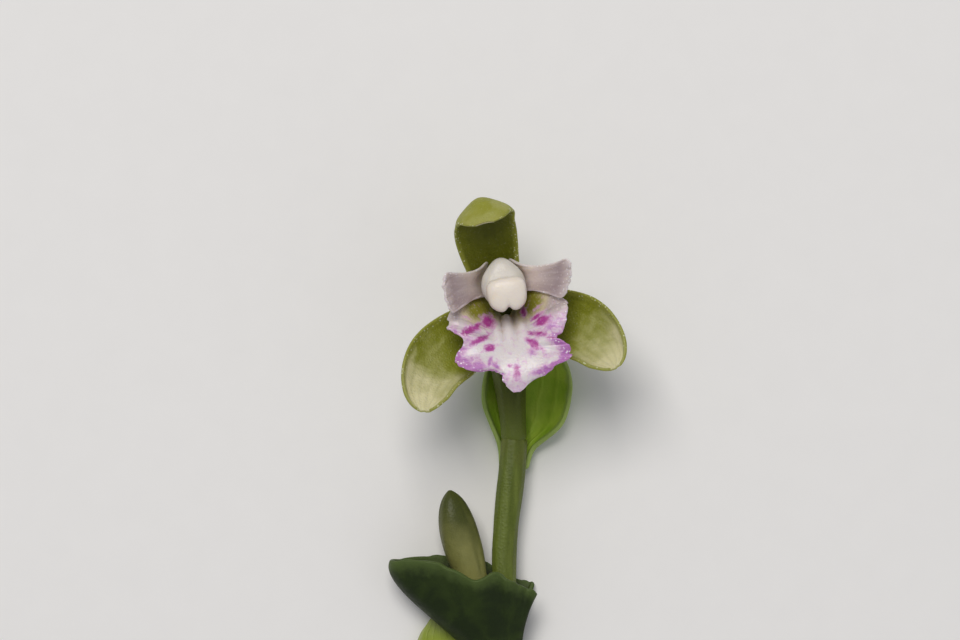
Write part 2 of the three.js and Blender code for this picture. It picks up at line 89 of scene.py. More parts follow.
def unit(rows: Numbers) -> Numbers:
    """Scales each row to length 1."""
    return rows / np.maximum(np.linalg.norm(rows, axis=-1, keepdims=True), NEAR_ZERO)


def smooth(low: float, high: float, x: Numbers) -> Numbers:
    """Rises smoothly from 0 at low to 1 at high."""
    u = np.clip((x - low) / (high - low), 0, 1)
    return u * u * (3 - 2 * u)


def hump(x: Numbers, width: float) -> Numbers:
    """A bell of height 1 over x = 0."""
    return np.exp(-((x / width) ** 2))


def ripple(x: Numbers, seed: float) -> Numbers:
    """An uneven wave within about -1 to 1, from sines that don't repeat together."""
    waves = ((0.5, 1.0, 1.0), (0.3, 1.73, 2.1), (0.2, 2.91, 4.7))
    return sum(height * np.sin(rate * x + shift * seed) for height, rate, shift in waves)


@dataclass(frozen=True)
class Knots:
    """A value that runs smoothly through (position, value) pairs."""

    pairs: tuple[tuple[float, float], ...]

    def at(self, s: Numbers) -> Numbers:
        """Reads the value.

        Args:
            s: Positions, held to the first and last knot.

        Returns:
            The value at each position.
        """
        at, value = np.array(self.pairs, float).T
        rank, last = np.arange(len(at)), len(at) - 1
        before, after = np.maximum(rank - 1, 0), np.minimum(rank + 1, last)
        slope = (value[after] - value[before]) / (at[after] - at[before])
        i = np.clip(np.searchsorted(at, s, side="left") - 1, 0, last - 1)
        length = at[i + 1] - at[i]
        u = np.clip((s - at[i]) / length, 0, 1)
        leaving = value[i] * (1 + 2 * u) + slope[i] * length * u
        reaching = value[i + 1] * (3 - 2 * u) - slope[i + 1] * length * (1 - u)
        return leaving * (1 - u) ** 2 + reaching * u**2


@dataclass(frozen=True)
class Ovate:
    """A half-width that swells from its base to its widest place and closes in a round tip."""

    base: float
    widest: float
    place: float
    bluntness: float
    tip: float = 0.2

    def at(self, s: Numbers) -> Numbers:
        """Reads the half-width.

        Args:
            s: Shares of the blade's length.

        Returns:
            The half-width at each share.
        """
        rising = self.base + (self.widest - self.base) * np.sin(math.pi / 2 * np.minimum(s / self.place, 1))
        u = np.clip((s - self.place) / (1 - self.place), 0, 1)
        falling = self.widest * np.maximum(np.cos(math.pi / 2 * u), 0) ** self.bluntness
        return np.where(s < self.place, rising, np.maximum(self.tip, falling))


@dataclass(frozen=True)
class Frill:
    """A wave along a margin that dies out inside the blade: even, or uneven where it has a seed."""

    height: float
    power: float
    along: float
    across: float = 0.0
    seed: float = 0.0

    def at(self, s: Numbers, t: Numbers, near: Numbers) -> Numbers:
        """How far places stand out, from where they are along and across and how near the margin."""
        turn = self.along * s + self.across * t
        return self.height * near**self.power * (ripple(turn, self.seed) if self.seed else np.sin(turn))


@dataclass(frozen=True)
class Line:
    """A smooth line through points."""

    points: tuple[Point, ...]

    def at(self, s: Numbers) -> Numbers:
        """Finds points of the line.

        Args:
            s: Shares of its length, 0 to 1.

        Returns:
            One row of x, y and z for each share.
        """
        points = np.array(self.points, float)
        steps = np.linalg.norm(np.diff(points, axis=0), axis=1)
        share = np.concatenate([[0.0], np.cumsum(steps)]) / steps.sum()
        return np.stack([Knots(tuple(zip(share, values))).at(s) for values in points.T], axis=-1)

    def frame(self, s: Numbers, side: Numbers) -> tuple[Numbers, Numbers, Numbers, Numbers]:
        """Finds where the line runs, across it and out of it.

        Args:
            s: Shares of its length.
            side: Roughly the way across, one row or one for each share.

        Returns:
            Centres, and the unit ways along, across and out.
        """
        along = unit(self.at(np.minimum(1, s + SMALL_STEP)) - self.at(np.maximum(0, s - SMALL_STEP)))
        out = unit(np.cross(np.broadcast_to(side, along.shape), along))
        return self.at(s), along, np.cross(along, out), out


# Place


@dataclass(frozen=True)
class Shoot:
    """Where the shoot lies in the part's frame, and how far its flower leans over in it."""

    anther_centre: Point = (0.07381, 0.56890, 4.36643)
    flower_turn: float = math.radians(8.5)

    def heart(self) -> Numbers:
        """Finds the flower's heart from the anther cap's solid, in millimetres."""
        low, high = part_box("anther_cap")
        return np.array((low + high) / 2) / MM - np.array(self.anther_centre)

    def turned(self, points: Numbers, angle: float) -> Numbers:
        """Turns points about the way that the flower faces."""
        c, s = math.cos(angle), math.sin(angle)
        return points @ np.array([[c, s, 0], [-s, c, 0], [0, 0, 1]])

    def to_part(self, points: Numbers, leaning: bool) -> Numbers:
        """Places points in the part's frame, in metres. Those of the flower lean over with it."""
        turn = self.flower_turn if leaning else 0.0
        return (self.turned(points, turn) + self.heart()) * MM

    def from_part(self, points: Numbers) -> Numbers:
        """Finds where points of the flower are as it is worked out, in millimetres from its heart."""
        return self.turned(points / MM - self.heart(), -self.flower_turn)


SHOOT = Shoot()


# Finishes


class Sheet:
    """A material painted layer by layer, with short calls for the nodes that the finishes share."""

    noise_range = (0.3, 0.7)
    cell_reach = 0.7
    glints_per_mm = 5.5
    glow_radius = (0.9, 0.8, 0.5)
    glow_mm = 0.45
    coat_roughness = 0.25

    def __init__(self, name: str, ground: Colour) -> None:
        """Starts the material.

        Args:
            name: Its name.
            ground: The colour under all the layers.
        """
        self.material = bpy.data.materials.new(name)
        self.material.use_nodes = True
        self.tree = self.material.node_tree
        self.place = self.node("TexCoord", "Object", {})
        self.colour: Socket | Colour = ground
        self.normal: Socket | None = None

    def feed(self, node: bpy.types.Node, values: Values) -> None:
        """Gives a node's inputs their values.

        Args:
            node: The node.
            values: An output to link or an own value for each input, by its name or number.
        """
        for key, value in values.items():
            socket = node.inputs[key]
            if isinstance(value, bpy.types.NodeSocket):
                self.tree.links.new(value, socket)
            else:
                socket.default_value = (*value, 1.0) if socket.type == "RGBA" else value

    def node(self, kind: str, output: int | str, values: Values, **settings: object) -> Socket:
        """Adds a node.

        Args:
            kind: The node's type.
            output: Which of its outputs is wanted.
            values: The values of its inputs.
            settings: Its properties.

        Returns:
            The output.
        """
        node = self.tree.nodes.new("ShaderNode" + kind)
        for key, value in settings.items():
            setattr(node, key, value)
        self.feed(node, values)
        return node.outputs[output]

    def mark(self, mark: Mark) -> Socket:
        """Reads what the vertices carry under a mark."""
        return self.node("Attribute", "Fac", {}, attribute_name=mark.value)

    def uneven(self, mark: Mark, reach: float, noise: Socket) -> Socket:
        """Reads a mark, with its borders moved to and fro by a noise."""
        wander = self.math("MULTIPLY", self.math("SUBTRACT", noise, 0.5), reach)
        return self.math("ADD", self.mark(mark), wander)

    def math(self, operation: str, a: Value, b: Value = 0.0) -> Socket:
        """Works out one sum."""
        return self.node("Math", 0, {0: a, 1: b}, operation=operation)

    def noise(self, per_mm: float, detail: float = 3.0, warp: float = 0.0, squeeze: float = 1.0) -> Socket:
        """Uneven variation.

        Args:
            per_mm: Features to the millimetre.
            detail: Finer layers.
            warp: Distortion.
            squeeze: Scale along the stem, less than 1 for streaks.

        Returns:
            A value about 0.5.
        """
        place = self.node("Mapping", "Vector", {"Vector": self.place, "Scale": (1.0, squeeze, 1.0)})
        values = {"Vector": place, "Scale": per_mm / MM, "Detail": detail, "Distortion": warp}
        return self.node("TexNoise", "Fac", values)

    def cells(self, per_mm: float) -> Socket:
        """How far each place is from the middle of its packed cell, as a share of a cell."""
        return self.node("TexVoronoi", "Distance", {"Vector": self.place, "Scale": per_mm / MM})

    def fit(self, value: Value, low: float, high: float, start: float = 0.0, end: float = 1.0) -> Socket:
        """Maps the range from low to high smoothly to another."""
        values = {"Value": value, "From Min": low, "From Max": high, "To Min": start, "To Max": end}
        return self.node("MapRange", "Result", values, interpolation_type="SMOOTHSTEP")

    def veins(self, count: float, sharpness: float) -> Socket:
        """Fine veins that run the length of a blade.

        Args:
            count: Veins across half the blade.
            sharpness: How narrow they are.

        Returns:
            1 on a vein and 0 between.
        """
        across = self.uneven(Mark.ACROSS, 0.25, self.noise(0.7, 2.0))
        wave = self.math("COSINE", self.math("MULTIPLY", across, count * math.pi))
        return self.math("POWER", self.math("ABSOLUTE", wave), sharpness)

    def lay(self, over: Colour, amount: Socket, share: Value = 1.0) -> None:
        """Lays a colour over those there already, in a share of the amount."""
        values = {"Factor": self.math("MULTIPLY", amount, share), 6: self.colour, 7: over}
        self.colour = self.node("Mix", 2, values, data_type="RGBA")

    def paint_glint_cells(self, tint: Colour, reach: float, core: float, share: Socket) -> None:
        """Lays painted glints in small cells: each is full within its core and gone at its reach."""
        self.lay(tint, self.fit(self.cells(self.glints_per_mm), reach, core), share)

    def relief(self, height: Socket, depth_mm: float, strength: float = 1.0) -> None:
        """Raises the surface, on top of any relief there already.

        Args:
            height: The height, 0 to 1.
            depth_mm: What a height of 1 stands for, in millimetres.
            strength: How strongly it shows.
        """
        values = {"Strength": strength, "Distance": depth_mm * MM, "Height": height}
        if self.normal:
            values["Normal"] = self.normal
        self.normal = self.node("Bump", "Normal", values)

    def pebble(self, per_mm: float, depth_mm: float) -> None:
        """Raises the surface in small rounded cells."""
        self.relief(self.fit(self.cells(per_mm), self.cell_reach, 0.0), depth_mm)

    def dull(self, per_mm: float, low: float, high: float) -> Socket:
        """Roughness that varies between two values."""
        return self.fit(self.noise(per_mm), *self.noise_range, low, high)

    def finish(self, roughness: Value, glow: float, coat: float = 0.0, shine: float = 0.5) -> Material:
        """Sets the shader.

        Args:
            roughness: Roughness.
            glow: How much light passes through the tissue.
            coat: A wet-looking layer.
            shine: How strongly the tissue itself reflects.

        Returns:
            The finished material.
        """
        values = {
            "Base Color": self.colour,
            "Normal": self.normal,
            "Roughness": roughness,
            "Subsurface Weight": glow,
            "Subsurface Radius": self.glow_radius,
            "Subsurface Scale": self.glow_mm * MM,
            "Specular IOR Level": shine,
            "Coat Weight": coat,
            "Coat Roughness": self.coat_roughness,
        }
        self.feed(self.tree.nodes["Principled BSDF"], values)
        return self.material


@dataclass(frozen=True)
class SepalTissue:
    """Fleshy yellow-green tissue with glistening cells: olive where it is deep and pale at the tip, partly
    its own colours and partly painted shade and light, with a painted lit rim and painted glints.
    """

    name: str = "sepal_tissue"
    deep: Colour = (0.118, 0.132, 0.001)
    green: Colour = (0.235, 0.255, 0.016)
    pale: Colour = (0.69, 0.65, 0.39)
    outer: Colour = (0.26, 0.28, 0.02)
    rim: Colour = (0.25, 0.265, 0.035)
    painted_glint: Colour = (0.92, 0.93, 0.74)
    pale_from: float = 0.5

    def material(self) -> Material:
        """Lays the colours from the foot to the tip, partly painted shade and light, then the back, the
        painted light of the rim and the painted glints.

        Returns:
            The material.
        """
        sheet = Sheet(self.name, self.deep)
        # From olive to pale: partly the sepal's own colours, partly painted shade where it is deep and
        # painted light where the cupped end faces the light.
        along = sheet.uneven(Mark.ALONG, 0.55, sheet.noise(0.8, detail=5.0, warp=0.5))
        sheet.lay(self.green, sheet.fit(along, 0.1, self.pale_from + 0.25))
        sheet.lay(self.pale, sheet.fit(along, self.pale_from, 0.95))
        vein = sheet.veins(3.5, sharpness=6.0)
        sheet.lay(self.deep, vein, 0.12)
        sheet.lay(self.outer, sheet.mark(Mark.OUTER), 0.85)
        # Painted light: the incurved margin is lighter where it catches the light.
        rim = sheet.fit(sheet.math("ABSOLUTE", sheet.mark(Mark.ACROSS)), 0.8, 0.94)
        sheet.lay(self.rim, rim, 0.8)
        # Painted glints on the glistening cells, most along the rim.
        sheet.paint_glint_cells(self.painted_glint, 0.3, 0.12, sheet.fit(rim, 0.0, 1.0, 0.05, 0.5))
        sheet.relief(vein, 0.012, 0.5)
        sheet.relief(sheet.noise(3.0, detail=4.0), 0.03, 0.6)
        sheet.pebble(8.0, 0.016)
        return sheet.finish(sheet.dull(5.0, 0.4, 0.56), glow=0.3, shine=0.3)


@dataclass(frozen=True)
class PetalTissue:
    """Thin, half-clear lilac-grey tissue, palest beside the column partly as painted light, with painted
    shade on its lower half and painted glints on glistening cells at its end.
    """

    name: str = "petal_tissue"
    # Pale partly as painted light: the blade beside the column faces the light.
    inner: Colour = (0.74, 0.64, 0.61)
    lower: Colour = (0.55, 0.45, 0.43)
    tip: Colour = (0.34, 0.262, 0.282)
    rim: Colour = (0.80, 0.71, 0.72)
    painted_glint: Colour = (0.97, 0.94, 0.96)

    def material(self) -> Material:
        """Lays the painted shade of the lower half, the darker tip, the pale rim and the painted glints.

        Returns:
            The material.
        """
        sheet = Sheet(self.name, self.inner)
        # Painted shade on the lower half.
        sheet.lay(self.lower, sheet.fit(sheet.uneven(Mark.THROAT, 0.5, sheet.noise(1.0)), 0.3, 0.9), 0.8)
        sheet.lay(self.tip, sheet.fit(sheet.mark(Mark.ALONG), 0.4, 0.9), 0.9)
        rim = sheet.fit(sheet.mark(Mark.MARGIN), 0.82, 1.0)
        sheet.lay(self.rim, rim, 0.7)
        sheet.lay(self.rim, sheet.veins(2.5, sharpness=10.0), 0.12)
        # Painted glints on the glistening cells, most at the margin.
        sheet.paint_glint_cells(self.painted_glint, 0.32, 0.12, sheet.fit(rim, 0.0, 1.0, 0.15, 0.8))
        sheet.pebble(8.0, 0.008)
        return sheet.finish(0.36, glow=0.45, coat=0.1)


@dataclass(frozen=True)
class LipTissue:
    """Crystalline white tissue with magenta blotches, lilac margins and a yellow-green throat, with painted
    shade on the upper side lobes, in the throat's hollow and between the keels, and painted glints at the
    margin.
    """

    name: str = "lip_tissue"
    white: Colour = (0.74, 0.69, 0.70)
    magenta: Colour = (0.42, 0.035, 0.29)
    lilac: Colour = (0.45, 0.14, 0.47)
    lilac_haze_and_lobe_shade: Colour = (0.68, 0.42, 0.64)
    grey: Colour = (0.44, 0.355, 0.36)
    border: Colour = (0.62, 0.54, 0.34)
    throat: Colour = (0.23, 0.225, 0.006)
    outer: Colour = (0.72, 0.66, 0.70)
    painted_glint: Colour = (0.98, 0.94, 0.98)

    def material(self) -> Material:
        """Lays the back, the painted shade of the upper side lobes, the throat with its painted shade, the
        margins, the blotches and the painted glints.

        Returns:
            The material.
        """
        sheet = Sheet(self.name, self.white)
        ragged = sheet.noise(3.6, detail=5.0, warp=0.8)
        soft = sheet.noise(1.8)
        throat = sheet.uneven(Mark.THROAT, 0.5, soft)
        margin = sheet.uneven(Mark.MARGIN, 1.3, ragged)
        blotch = sheet.uneven(Mark.BLOTCH, 1.3, ragged)
        sheet.lay(self.outer, sheet.mark(Mark.OUTER))
        # Painted shade: the upper side lobes go lilac-grey, partly their own tint.
        sheet.lay(self.grey, sheet.fit(sheet.uneven(Mark.HAZE, 0.5, soft), 0.1, 0.9), 0.85)
        # A cream border round the throat; in the grooves between the keels it stands for painted shade.
        sheet.lay(self.border, sheet.fit(throat, 0.0, 0.4), 0.9)
        # The throat's own yellow-green, darkened as painted shade in the hollow by the column.
        sheet.lay(self.throat, sheet.fit(throat, 0.3, 0.85), 0.96)
        sheet.lay(self.lilac_haze_and_lobe_shade, sheet.fit(margin, 0.0, 0.8), 0.8)
        sheet.lay(self.lilac, sheet.fit(margin, 0.45, 1.0), 0.85)
        sheet.lay(self.lilac_haze_and_lobe_shade, sheet.fit(blotch, 0.08, 0.5), 0.85)
        sheet.lay(self.magenta, sheet.fit(blotch, 0.3, 0.9), 0.95)
        across = sheet.math("ABSOLUTE", sheet.mark(Mark.ACROSS))
        # Painted glints on the glistening cells, most at the margin.
        sheet.paint_glint_cells(self.painted_glint, 0.36, 0.14, sheet.fit(across, 0.8, 0.96, 0.12, 0.85))
        sheet.pebble(8.0, 0.009)
        return sheet.finish(0.36, glow=0.35, coat=0.1)


@dataclass(frozen=True)
class WaxyTissue:
    """Smooth pale waxy tissue of the column and its anther cap."""

    name: str
    body: Colour
    shade: Colour
    foot: Colour = (0.55, 0.58, 0.26)

    def material(self) -> Material:
        """Lays soft shades and the green foot.

        Returns:
            The material.
        """
        sheet = Sheet(self.name, self.body)
        sheet.lay(self.shade, sheet.fit(sheet.noise(1.1), 0.45, 0.8))
        sheet.lay(self.foot, sheet.fit(sheet.mark(Mark.ALONG), 0.55, 0.2), 0.6)
        sheet.pebble(10.0, 0.006)
        return sheet.finish(sheet.dull(6.0, 0.34, 0.48), glow=0.35, coat=0.1)


@dataclass(frozen=True)
class StalkTissue:
    """Green stem tissue with fine ribs and a faint purple flush."""

    name: str = "stem_tissue"
    # These greens are darker than the stem's own, part way, as painted shade.
    green: Colour = (0.088, 0.118, 0.012)
    light: Colour = (0.15, 0.19, 0.030)
    flush: Colour = (0.12, 0.085, 0.03)
    far: Colour | None = None
    cut: Colour = (0.62, 0.66, 0.42)

    def material(self) -> Material:
        """Lays light streaks, the flush, another green over the far end where one is given, and the cut
        face.

        Returns:
            The material.
        """
        sheet = Sheet(self.name, self.green)
        streak = sheet.noise(2.2, squeeze=0.12)
        sheet.lay(self.light, sheet.fit(streak, *sheet.noise_range))
        sheet.lay(self.flush, sheet.fit(sheet.noise(0.35, detail=2.0), 0.5, 0.72), 0.2)
        if self.far:
            sheet.lay(self.far, sheet.fit(sheet.mark(Mark.ALONG), 0.55, 1.0))
        sheet.lay(self.cut, sheet.mark(Mark.OUTER))
        sheet.relief(streak, 0.03, 0.6)
        sheet.pebble(7.0, 0.012)
        return sheet.finish(0.5, glow=0.2, shine=0.3)


@dataclass(frozen=True)
class LeafTissue:
    """A small soft leaf: green, with raised veins, a paler margin, on the dark leaf partly painted light,
    and its own shade beneath.
    """

    name: str
    green: Colour
    light: Colour
    beneath: Colour
    rim: Colour

    def material(self) -> Material:
        """Lays lighter clouds, the underside, the veins and the margin.

        Returns:
            The material.
        """
        sheet = Sheet(self.name, self.green)
        sheet.lay(self.light, sheet.fit(sheet.noise(0.8, detail=5.0, warp=0.4), 0.35, 0.75))
        sheet.lay(self.beneath, sheet.mark(Mark.OUTER), 0.9)
        vein = sheet.veins(3.0, sharpness=14.0)
        sheet.lay(self.light, vein, 0.45)
        # The paler margin; on the dark leaf it is painted light on the lit edge.
        sheet.lay(self.rim, sheet.fit(sheet.uneven(Mark.MARGIN, 0.12, sheet.noise(2.5)), 0.82, 1.0), 0.8)
        sheet.relief(vein, 0.03, 0.6)
        sheet.pebble(7.0, 0.006)
        return sheet.finish(sheet.dull(4.0, 0.48, 0.62), glow=0.12, shine=0.22)


@dataclass(frozen=True)
class BudTissue:
    """Closed sepals: pale yellow-green below, olive at the tip, with darker seams."""

    name: str = "bud_tissue"
    # These colours are darker than the bud's own, part way, as painted shade.
    pale: Colour = (0.28, 0.275, 0.085)
    tip: Colour = (0.05, 0.06, 0.005)
    seam: Colour = (0.10, 0.11, 0.015)

    def material(self) -> Material:
        """Lays the dark tip and the seams.

        Returns:
            The material.
        """
        sheet = Sheet(self.name, self.pale)
        sheet.lay(self.tip, sheet.fit(sheet.uneven(Mark.ALONG, 0.4, sheet.noise(0.9)), 0.32, 0.95))
        sheet.lay(self.seam, sheet.mark(Mark.BLOTCH), 0.6)
        sheet.relief(sheet.noise(2.5, squeeze=0.15), 0.02, 0.5)
        sheet.pebble(8.0, 0.008)
        return sheet.finish(0.48, glow=0.2, shine=0.35)


@dataclass(frozen=True)
class PaperFloor:
    """A plain pale surface with a faint grain."""

    name: str = "pale_floor"
    tone: Colour = (0.88, 0.87, 0.855)
    darker: float = 0.97

    def material(self) -> Material:
        """Lays the grain.

        Returns:
            The material.
        """
        sheet = Sheet(self.name, self.tone)
        grain = sheet.noise(0.6, detail=4.0)
        sheet.lay(tuple(self.darker * value for value in self.tone), grain)
        sheet.relief(grain, 0.01, 0.3)
        return sheet.finish(0.9, glow=0.0)


# Working on pieces


def deselect() -> None:
    """Deselects everything."""
    bpy.ops.object.select_all(action="DESELECT")


def named(name: str) -> Piece:
    """Names the piece that was just added, and its mesh."""
    bpy.context.object.name = bpy.context.object.data.name = name
    return bpy.context.object


def vertices_of(piece: Piece) -> Numbers:
    """Reads a piece's vertices as rows of x, y and z."""
    return np.array([vertex.co for vertex in piece.data.vertices])


def move_vertices(piece: Piece, points: Numbers) -> None:
    """Moves a piece's vertices to new places."""
    piece.data.vertices.foreach_set("co", np.ascontiguousarray(points, dtype=np.float64).ravel())
    piece.data.update()


def write_mark(piece: Piece, mark: Mark, values: Numbers) -> None:
    """Lets each vertex carry a value for the finish.

    Args:
        piece: The piece.
        mark: What the value stands for.
        values: One value for each vertex.
    """
    layers = piece.data.attributes
    layer = layers.get(mark.value) or layers.new(mark.value, "FLOAT", "POINT")
    layer.data.foreach_set("value", np.ascontiguousarray(values, dtype=np.float32))


def read_mark(piece: Piece, mark: Mark) -> Numbers:
    """Reads what each vertex carries."""
    return np.array([entry.value for entry in piece.data.attributes[mark.value].data])


def apply_modifier(piece: Piece, kind: str, **settings: object) -> None:
    """Adds a modifier to a piece and applies it.

    Args:
        piece: The piece.
        kind: The modifier's type.
        settings: Its properties.
    """
    deselect()
    piece.select_set(True)
    bpy.context.view_layer.objects.active = piece
    modifier = piece.modifiers.new(kind.lower(), kind)
    for key, value in settings.items():
        setattr(modifier, key, value)
    bpy.ops.object.modifier_apply(modifier=modifier.name)


@dataclass
class Growth:
    """A piece of the shoot, which is modelled roughly, smoothed, and put in the place of its solid."""

    name: str
    node: str
    slot: str
    leaning: bool = False

    def rough(self) -> Piece:
        """Models the rough mesh."""
        raise NotImplementedError

    def detail(self, piece: Piece) -> None:
        """Marks what the finish reads on the fine mesh."""

    def build(self, material: Material) -> Piece:
        """Builds the piece and lifts what would lie under the floor onto it.

        Args:
            material: Its finish.

        Returns:
            The finished piece.
        """
        piece = self.rough()
        apply_modifier(piece, "SUBSURF", levels=SUBDIVISIONS, render_levels=SUBDIVISIONS)
        self.detail(piece)
        bpy.ops.object.shade_smooth()
        piece.data.materials.append(material)
        places = vertices_of(piece)
        places[:, 2] = np.maximum(places[:, 2], 0)
        move_vertices(piece, places)
        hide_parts(self.node)
        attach(piece, "root")
        return piece


# Blades


@dataclass
class Blade(Growth):
    """A sepal, petal or leaf: a grid that is bent to a surface, thickened and smoothed.

    Its surface is worked out from s, 0 at the foot and 1 at the tip, and t, -1 to 1 across.
    """

    leaning: bool = True
    rows: int = 56
    columns: int = 36
    thickness: float = 0.34
    thin_from: float = 0.6
    edge_share: float = 0.45
    overhang: float = 0.12
    close_at_tip: bool = True

    def surface(self, s: Numbers, t: Numbers) -> Numbers:
        """Works out the middle surface: rows of x, y and z in millimetres."""
        raise NotImplementedError

    def edge(self, s: Numbers, t: Numbers) -> Numbers:
        """How near each place is to the margin: 0 well inside and 1 on it."""
        return np.maximum(np.abs(t), s)

    def rough(self) -> Piece:
        """Bends a flat grid to the surface and thickens it, less towards the margin.

        Returns:
            The blade, with its s, t and outer face marked.
        """
        deselect()
        bpy.ops.mesh.primitive_grid_add(x_subdivisions=self.columns, y_subdivisions=self.rows, size=2.0)
        piece = named(self.name)
        t, height, _ = vertices_of(piece).T
        s = (height + 1) / 2
        if self.close_at_tip:
            s = np.sin(s * math.pi / 2)
        write_mark(piece, Mark.ALONG, s)
        write_mark(piece, Mark.ACROSS, t)
        move_vertices(piece, SHOOT.to_part(self.surface(s, t), self.leaning))
        flesh = piece.vertex_groups.new(name="flesh")
        for i, weight in enumerate(1 - smooth(self.thin_from, 1.0, self.edge(s, t))):
            flesh.add([i], float(weight), "REPLACE")
        apply_modifier(
            piece,
            "SOLIDIFY",
            thickness=self.thickness * MM,
            offset=0.0,
            vertex_group=flesh.name,
            thickness_vertex_group=self.edge_share,
        )
        piece.vertex_groups.clear()
        write_mark(piece, Mark.OUTER, np.repeat([0, 1], len(s)))
        return piece

    def detail(self, piece: Piece) -> None:
        """Marks the margin."""
        s, t = read_mark(piece, Mark.ALONG), read_mark(piece, Mark.ACROSS)
        write_mark(piece, Mark.MARGIN, self.edge(s, t))


@dataclass(kw_only=True)
class Gutter(Blade):
    """A blade that is bent into a gutter along a midrib, with its own half-width on either side of it.

    The sides are the ways across at the foot and at the tip, and the curl is in radians.
    """

    midrib: Line
    sides: tuple[Point, Point] = ((1, 0, 0), (1, 0, 0))
    minus: Knots | Ovate
    plus: Knots | Ovate
    curl: Knots
    cup: float = 0.0
    frills: tuple[Frill, ...] = ()

    def lift(self, s: Numbers, t: Numbers) -> Numbers:
        """How far each place stands out of the gutter."""
        return sum(frill.at(s, t, np.abs(t)) for frill in self.frills)

    def end(self, s: Numbers, t: Numbers) -> Numbers | float:
        """The share of the midrib's length at which the blade ends."""
        return 1.0

    def surface(self, s: Numbers, t: Numbers) -> Numbers:
        """Works out the middle surface.

        Args:
            s: Shares of the blade's length.
            t: Places across it, less than 0 on the minus side.

        Returns:
            Rows of x, y and z in millimetres.
        """
        side = np.outer(1 - s, self.sides[0]) + np.outer(s, self.sides[1])
        centre, _, across, out = self.midrib.frame(s * self.end(s, t), side)
        half = np.where(t < 0, self.minus.at(s), self.plus.at(s)) + self.overhang
        turn = self.curl.at(s) * np.maximum(np.abs(t), NEAR_ZERO) ** self.cup
        sideways = half * np.sin(turn * t) / turn
        outwards = half * (1 - np.cos(turn * t)) / turn + self.lift(s, t)
        return centre + across * sideways[:, None] + out * outwards[:, None]


@dataclass
class DorsalSepal(Gutter):
    """The sepal behind the column, hooded forward over it with a keel along the hood."""

    midrib: Line = Line((
        (-0.08, 0.42, 0.05), (-0.25, 1.7, 0.85), (-0.38, 2.95, 1.5), (-0.46, 4.1, 2.1),
        (-0.48, 4.94, 2.75), (-0.47, 5.22, 3.5), (-0.45, 4.92, 4.3), (-0.42, 4.22, 4.85),
    ))
    sides: tuple[Point, Point] = ((1, 0.1, 0), (1, 0.14, 0.02))
    minus: Knots = Knots((
        (0, 0.6), (0.18, 1.15), (0.35, 1.42), (0.5, 1.62), (0.65, 1.78), (0.8, 1.72), (0.92, 1.3),
        (0.97, 0.9), (1, 0.4),
    ))
    plus: Knots = minus
    curl: Knots = Knots((
        (0, 0.5), (0.35, 0.6), (0.5, 0.8), (0.65, 1.15), (0.8, 1.05), (0.9, 0.8), (1, 0.45),
    ))
    frills: tuple[Frill, ...] = (Frill(0.015, 4, 26, 2, 0.4),)
    keel: float = 0.2

    def lift(self, s: Numbers, t: Numbers) -> Numbers:
        """Presses the keel of the hood outwards."""
        keel = self.keel * hump(t, 0.3) * smooth(0.4, 0.65, s) * (1 - smooth(0.8, 0.97, s))
        return super().lift(s, t) - keel


@dataclass
class LateralSepal(Gutter):
    """A broad boat-shaped sepal that spreads down and forward, with its cupped tip turned up."""

    hand: Hand = Hand.LEFT
    curl: Knots = Knots(((0, 0.45), (0.5, 0.75), (0.75, 0.95), (0.9, 0.7), (1, 0.3)))
    cup: float = 0.9
    crumple: float = 0.03

    def lift(self, s: Numbers, t: Numbers) -> Numbers:
        """Crumples the blade a little, and its margin more finely."""
        crumple = self.crumple * smooth(0.3, 0.7, s) * ripple(9 * s + 5 * t, 0.9 * self.hand.value)
        return crumple + Frill(0.03, 4, 24, 2, 1.3 * self.hand.value).at(s, t, np.abs(t))


LEFT_SEPAL = LateralSepal(
    "spread_sepal_left",
    "lateral_sepal_left",
    "sepal",
    midrib=Line((
        (-0.38, -0.3, 0.05), (-1.35, -0.9, 0.75), (-2.45, -1.5, 1.4), (-3.5, -2.3, 2.0),
        (-4.2, -3.2, 2.75), (-4.6, -4.1, 3.6), (-4.78, -4.66, 4.4),
    )),
    sides=((-0.5, 0.85, 0), (-0.98, 0.2, 0)),
    minus=Ovate(0.6, 1.76, 0.55, 0.6),
    plus=Ovate(0.6, 1.86, 0.6, 0.55),
)

RIGHT_SEPAL = LateralSepal(
    "spread_sepal_right",
    "lateral_sepal_right",
    "sepal",
    hand=Hand.RIGHT,
    midrib=Line((
        (0.38, -0.3, 0.05), (1.4, -0.75, 0.75), (2.55, -1.2, 1.4), (3.6, -1.85, 2.0), (4.35, -2.7, 2.75),
        (4.8, -3.45, 3.6), (5.02, -3.92, 4.4),
    )),
    sides=((-0.4, -0.9, 0), (-0.95, -0.35, 0)),
    minus=Ovate(0.6, 1.8, 0.6, 0.55),
    plus=Ovate(0.6, 1.65, 0.6, 0.55),
)


@dataclass
class Petal(Gutter):
    """A petal that stands forward beside the column and spreads out to a blunt end."""

    thickness: float = 0.26
    curl: Knots = Knots(((0, 0.3), (0.25, 0.95), (0.6, 0.4), (1, 0.2)))
    hand: Hand = Hand.LEFT
    length: float = 0.985
    slant: float = 0.03
    notches: float = 0.015

    def lift(self, s: Numbers, t: Numbers) -> Numbers:
        """Frills the margin and the end."""
        return Frill(0.05, 5, 14, 9, 0.7 * self.hand.value).at(s, t, self.edge(s, t))

    def end(self, s: Numbers, t: Numbers) -> Numbers:
        """Cuts the end on the slant, and a little unevenly."""
        slant = self.slant * ((1 + self.hand.value * t) / 2) ** 1.5
        return self.length - slant + self.notches * ripple(7 * t, 2.0 * self.hand.value) * s

    def detail(self, piece: Piece) -> None:
        """Marks the margin and the lower half that takes painted shade."""
        super().detail(piece)
        write_mark(piece, Mark.THROAT, smooth(-0.3, 0.8, self.hand.value * read_mark(piece, Mark.ACROSS)))


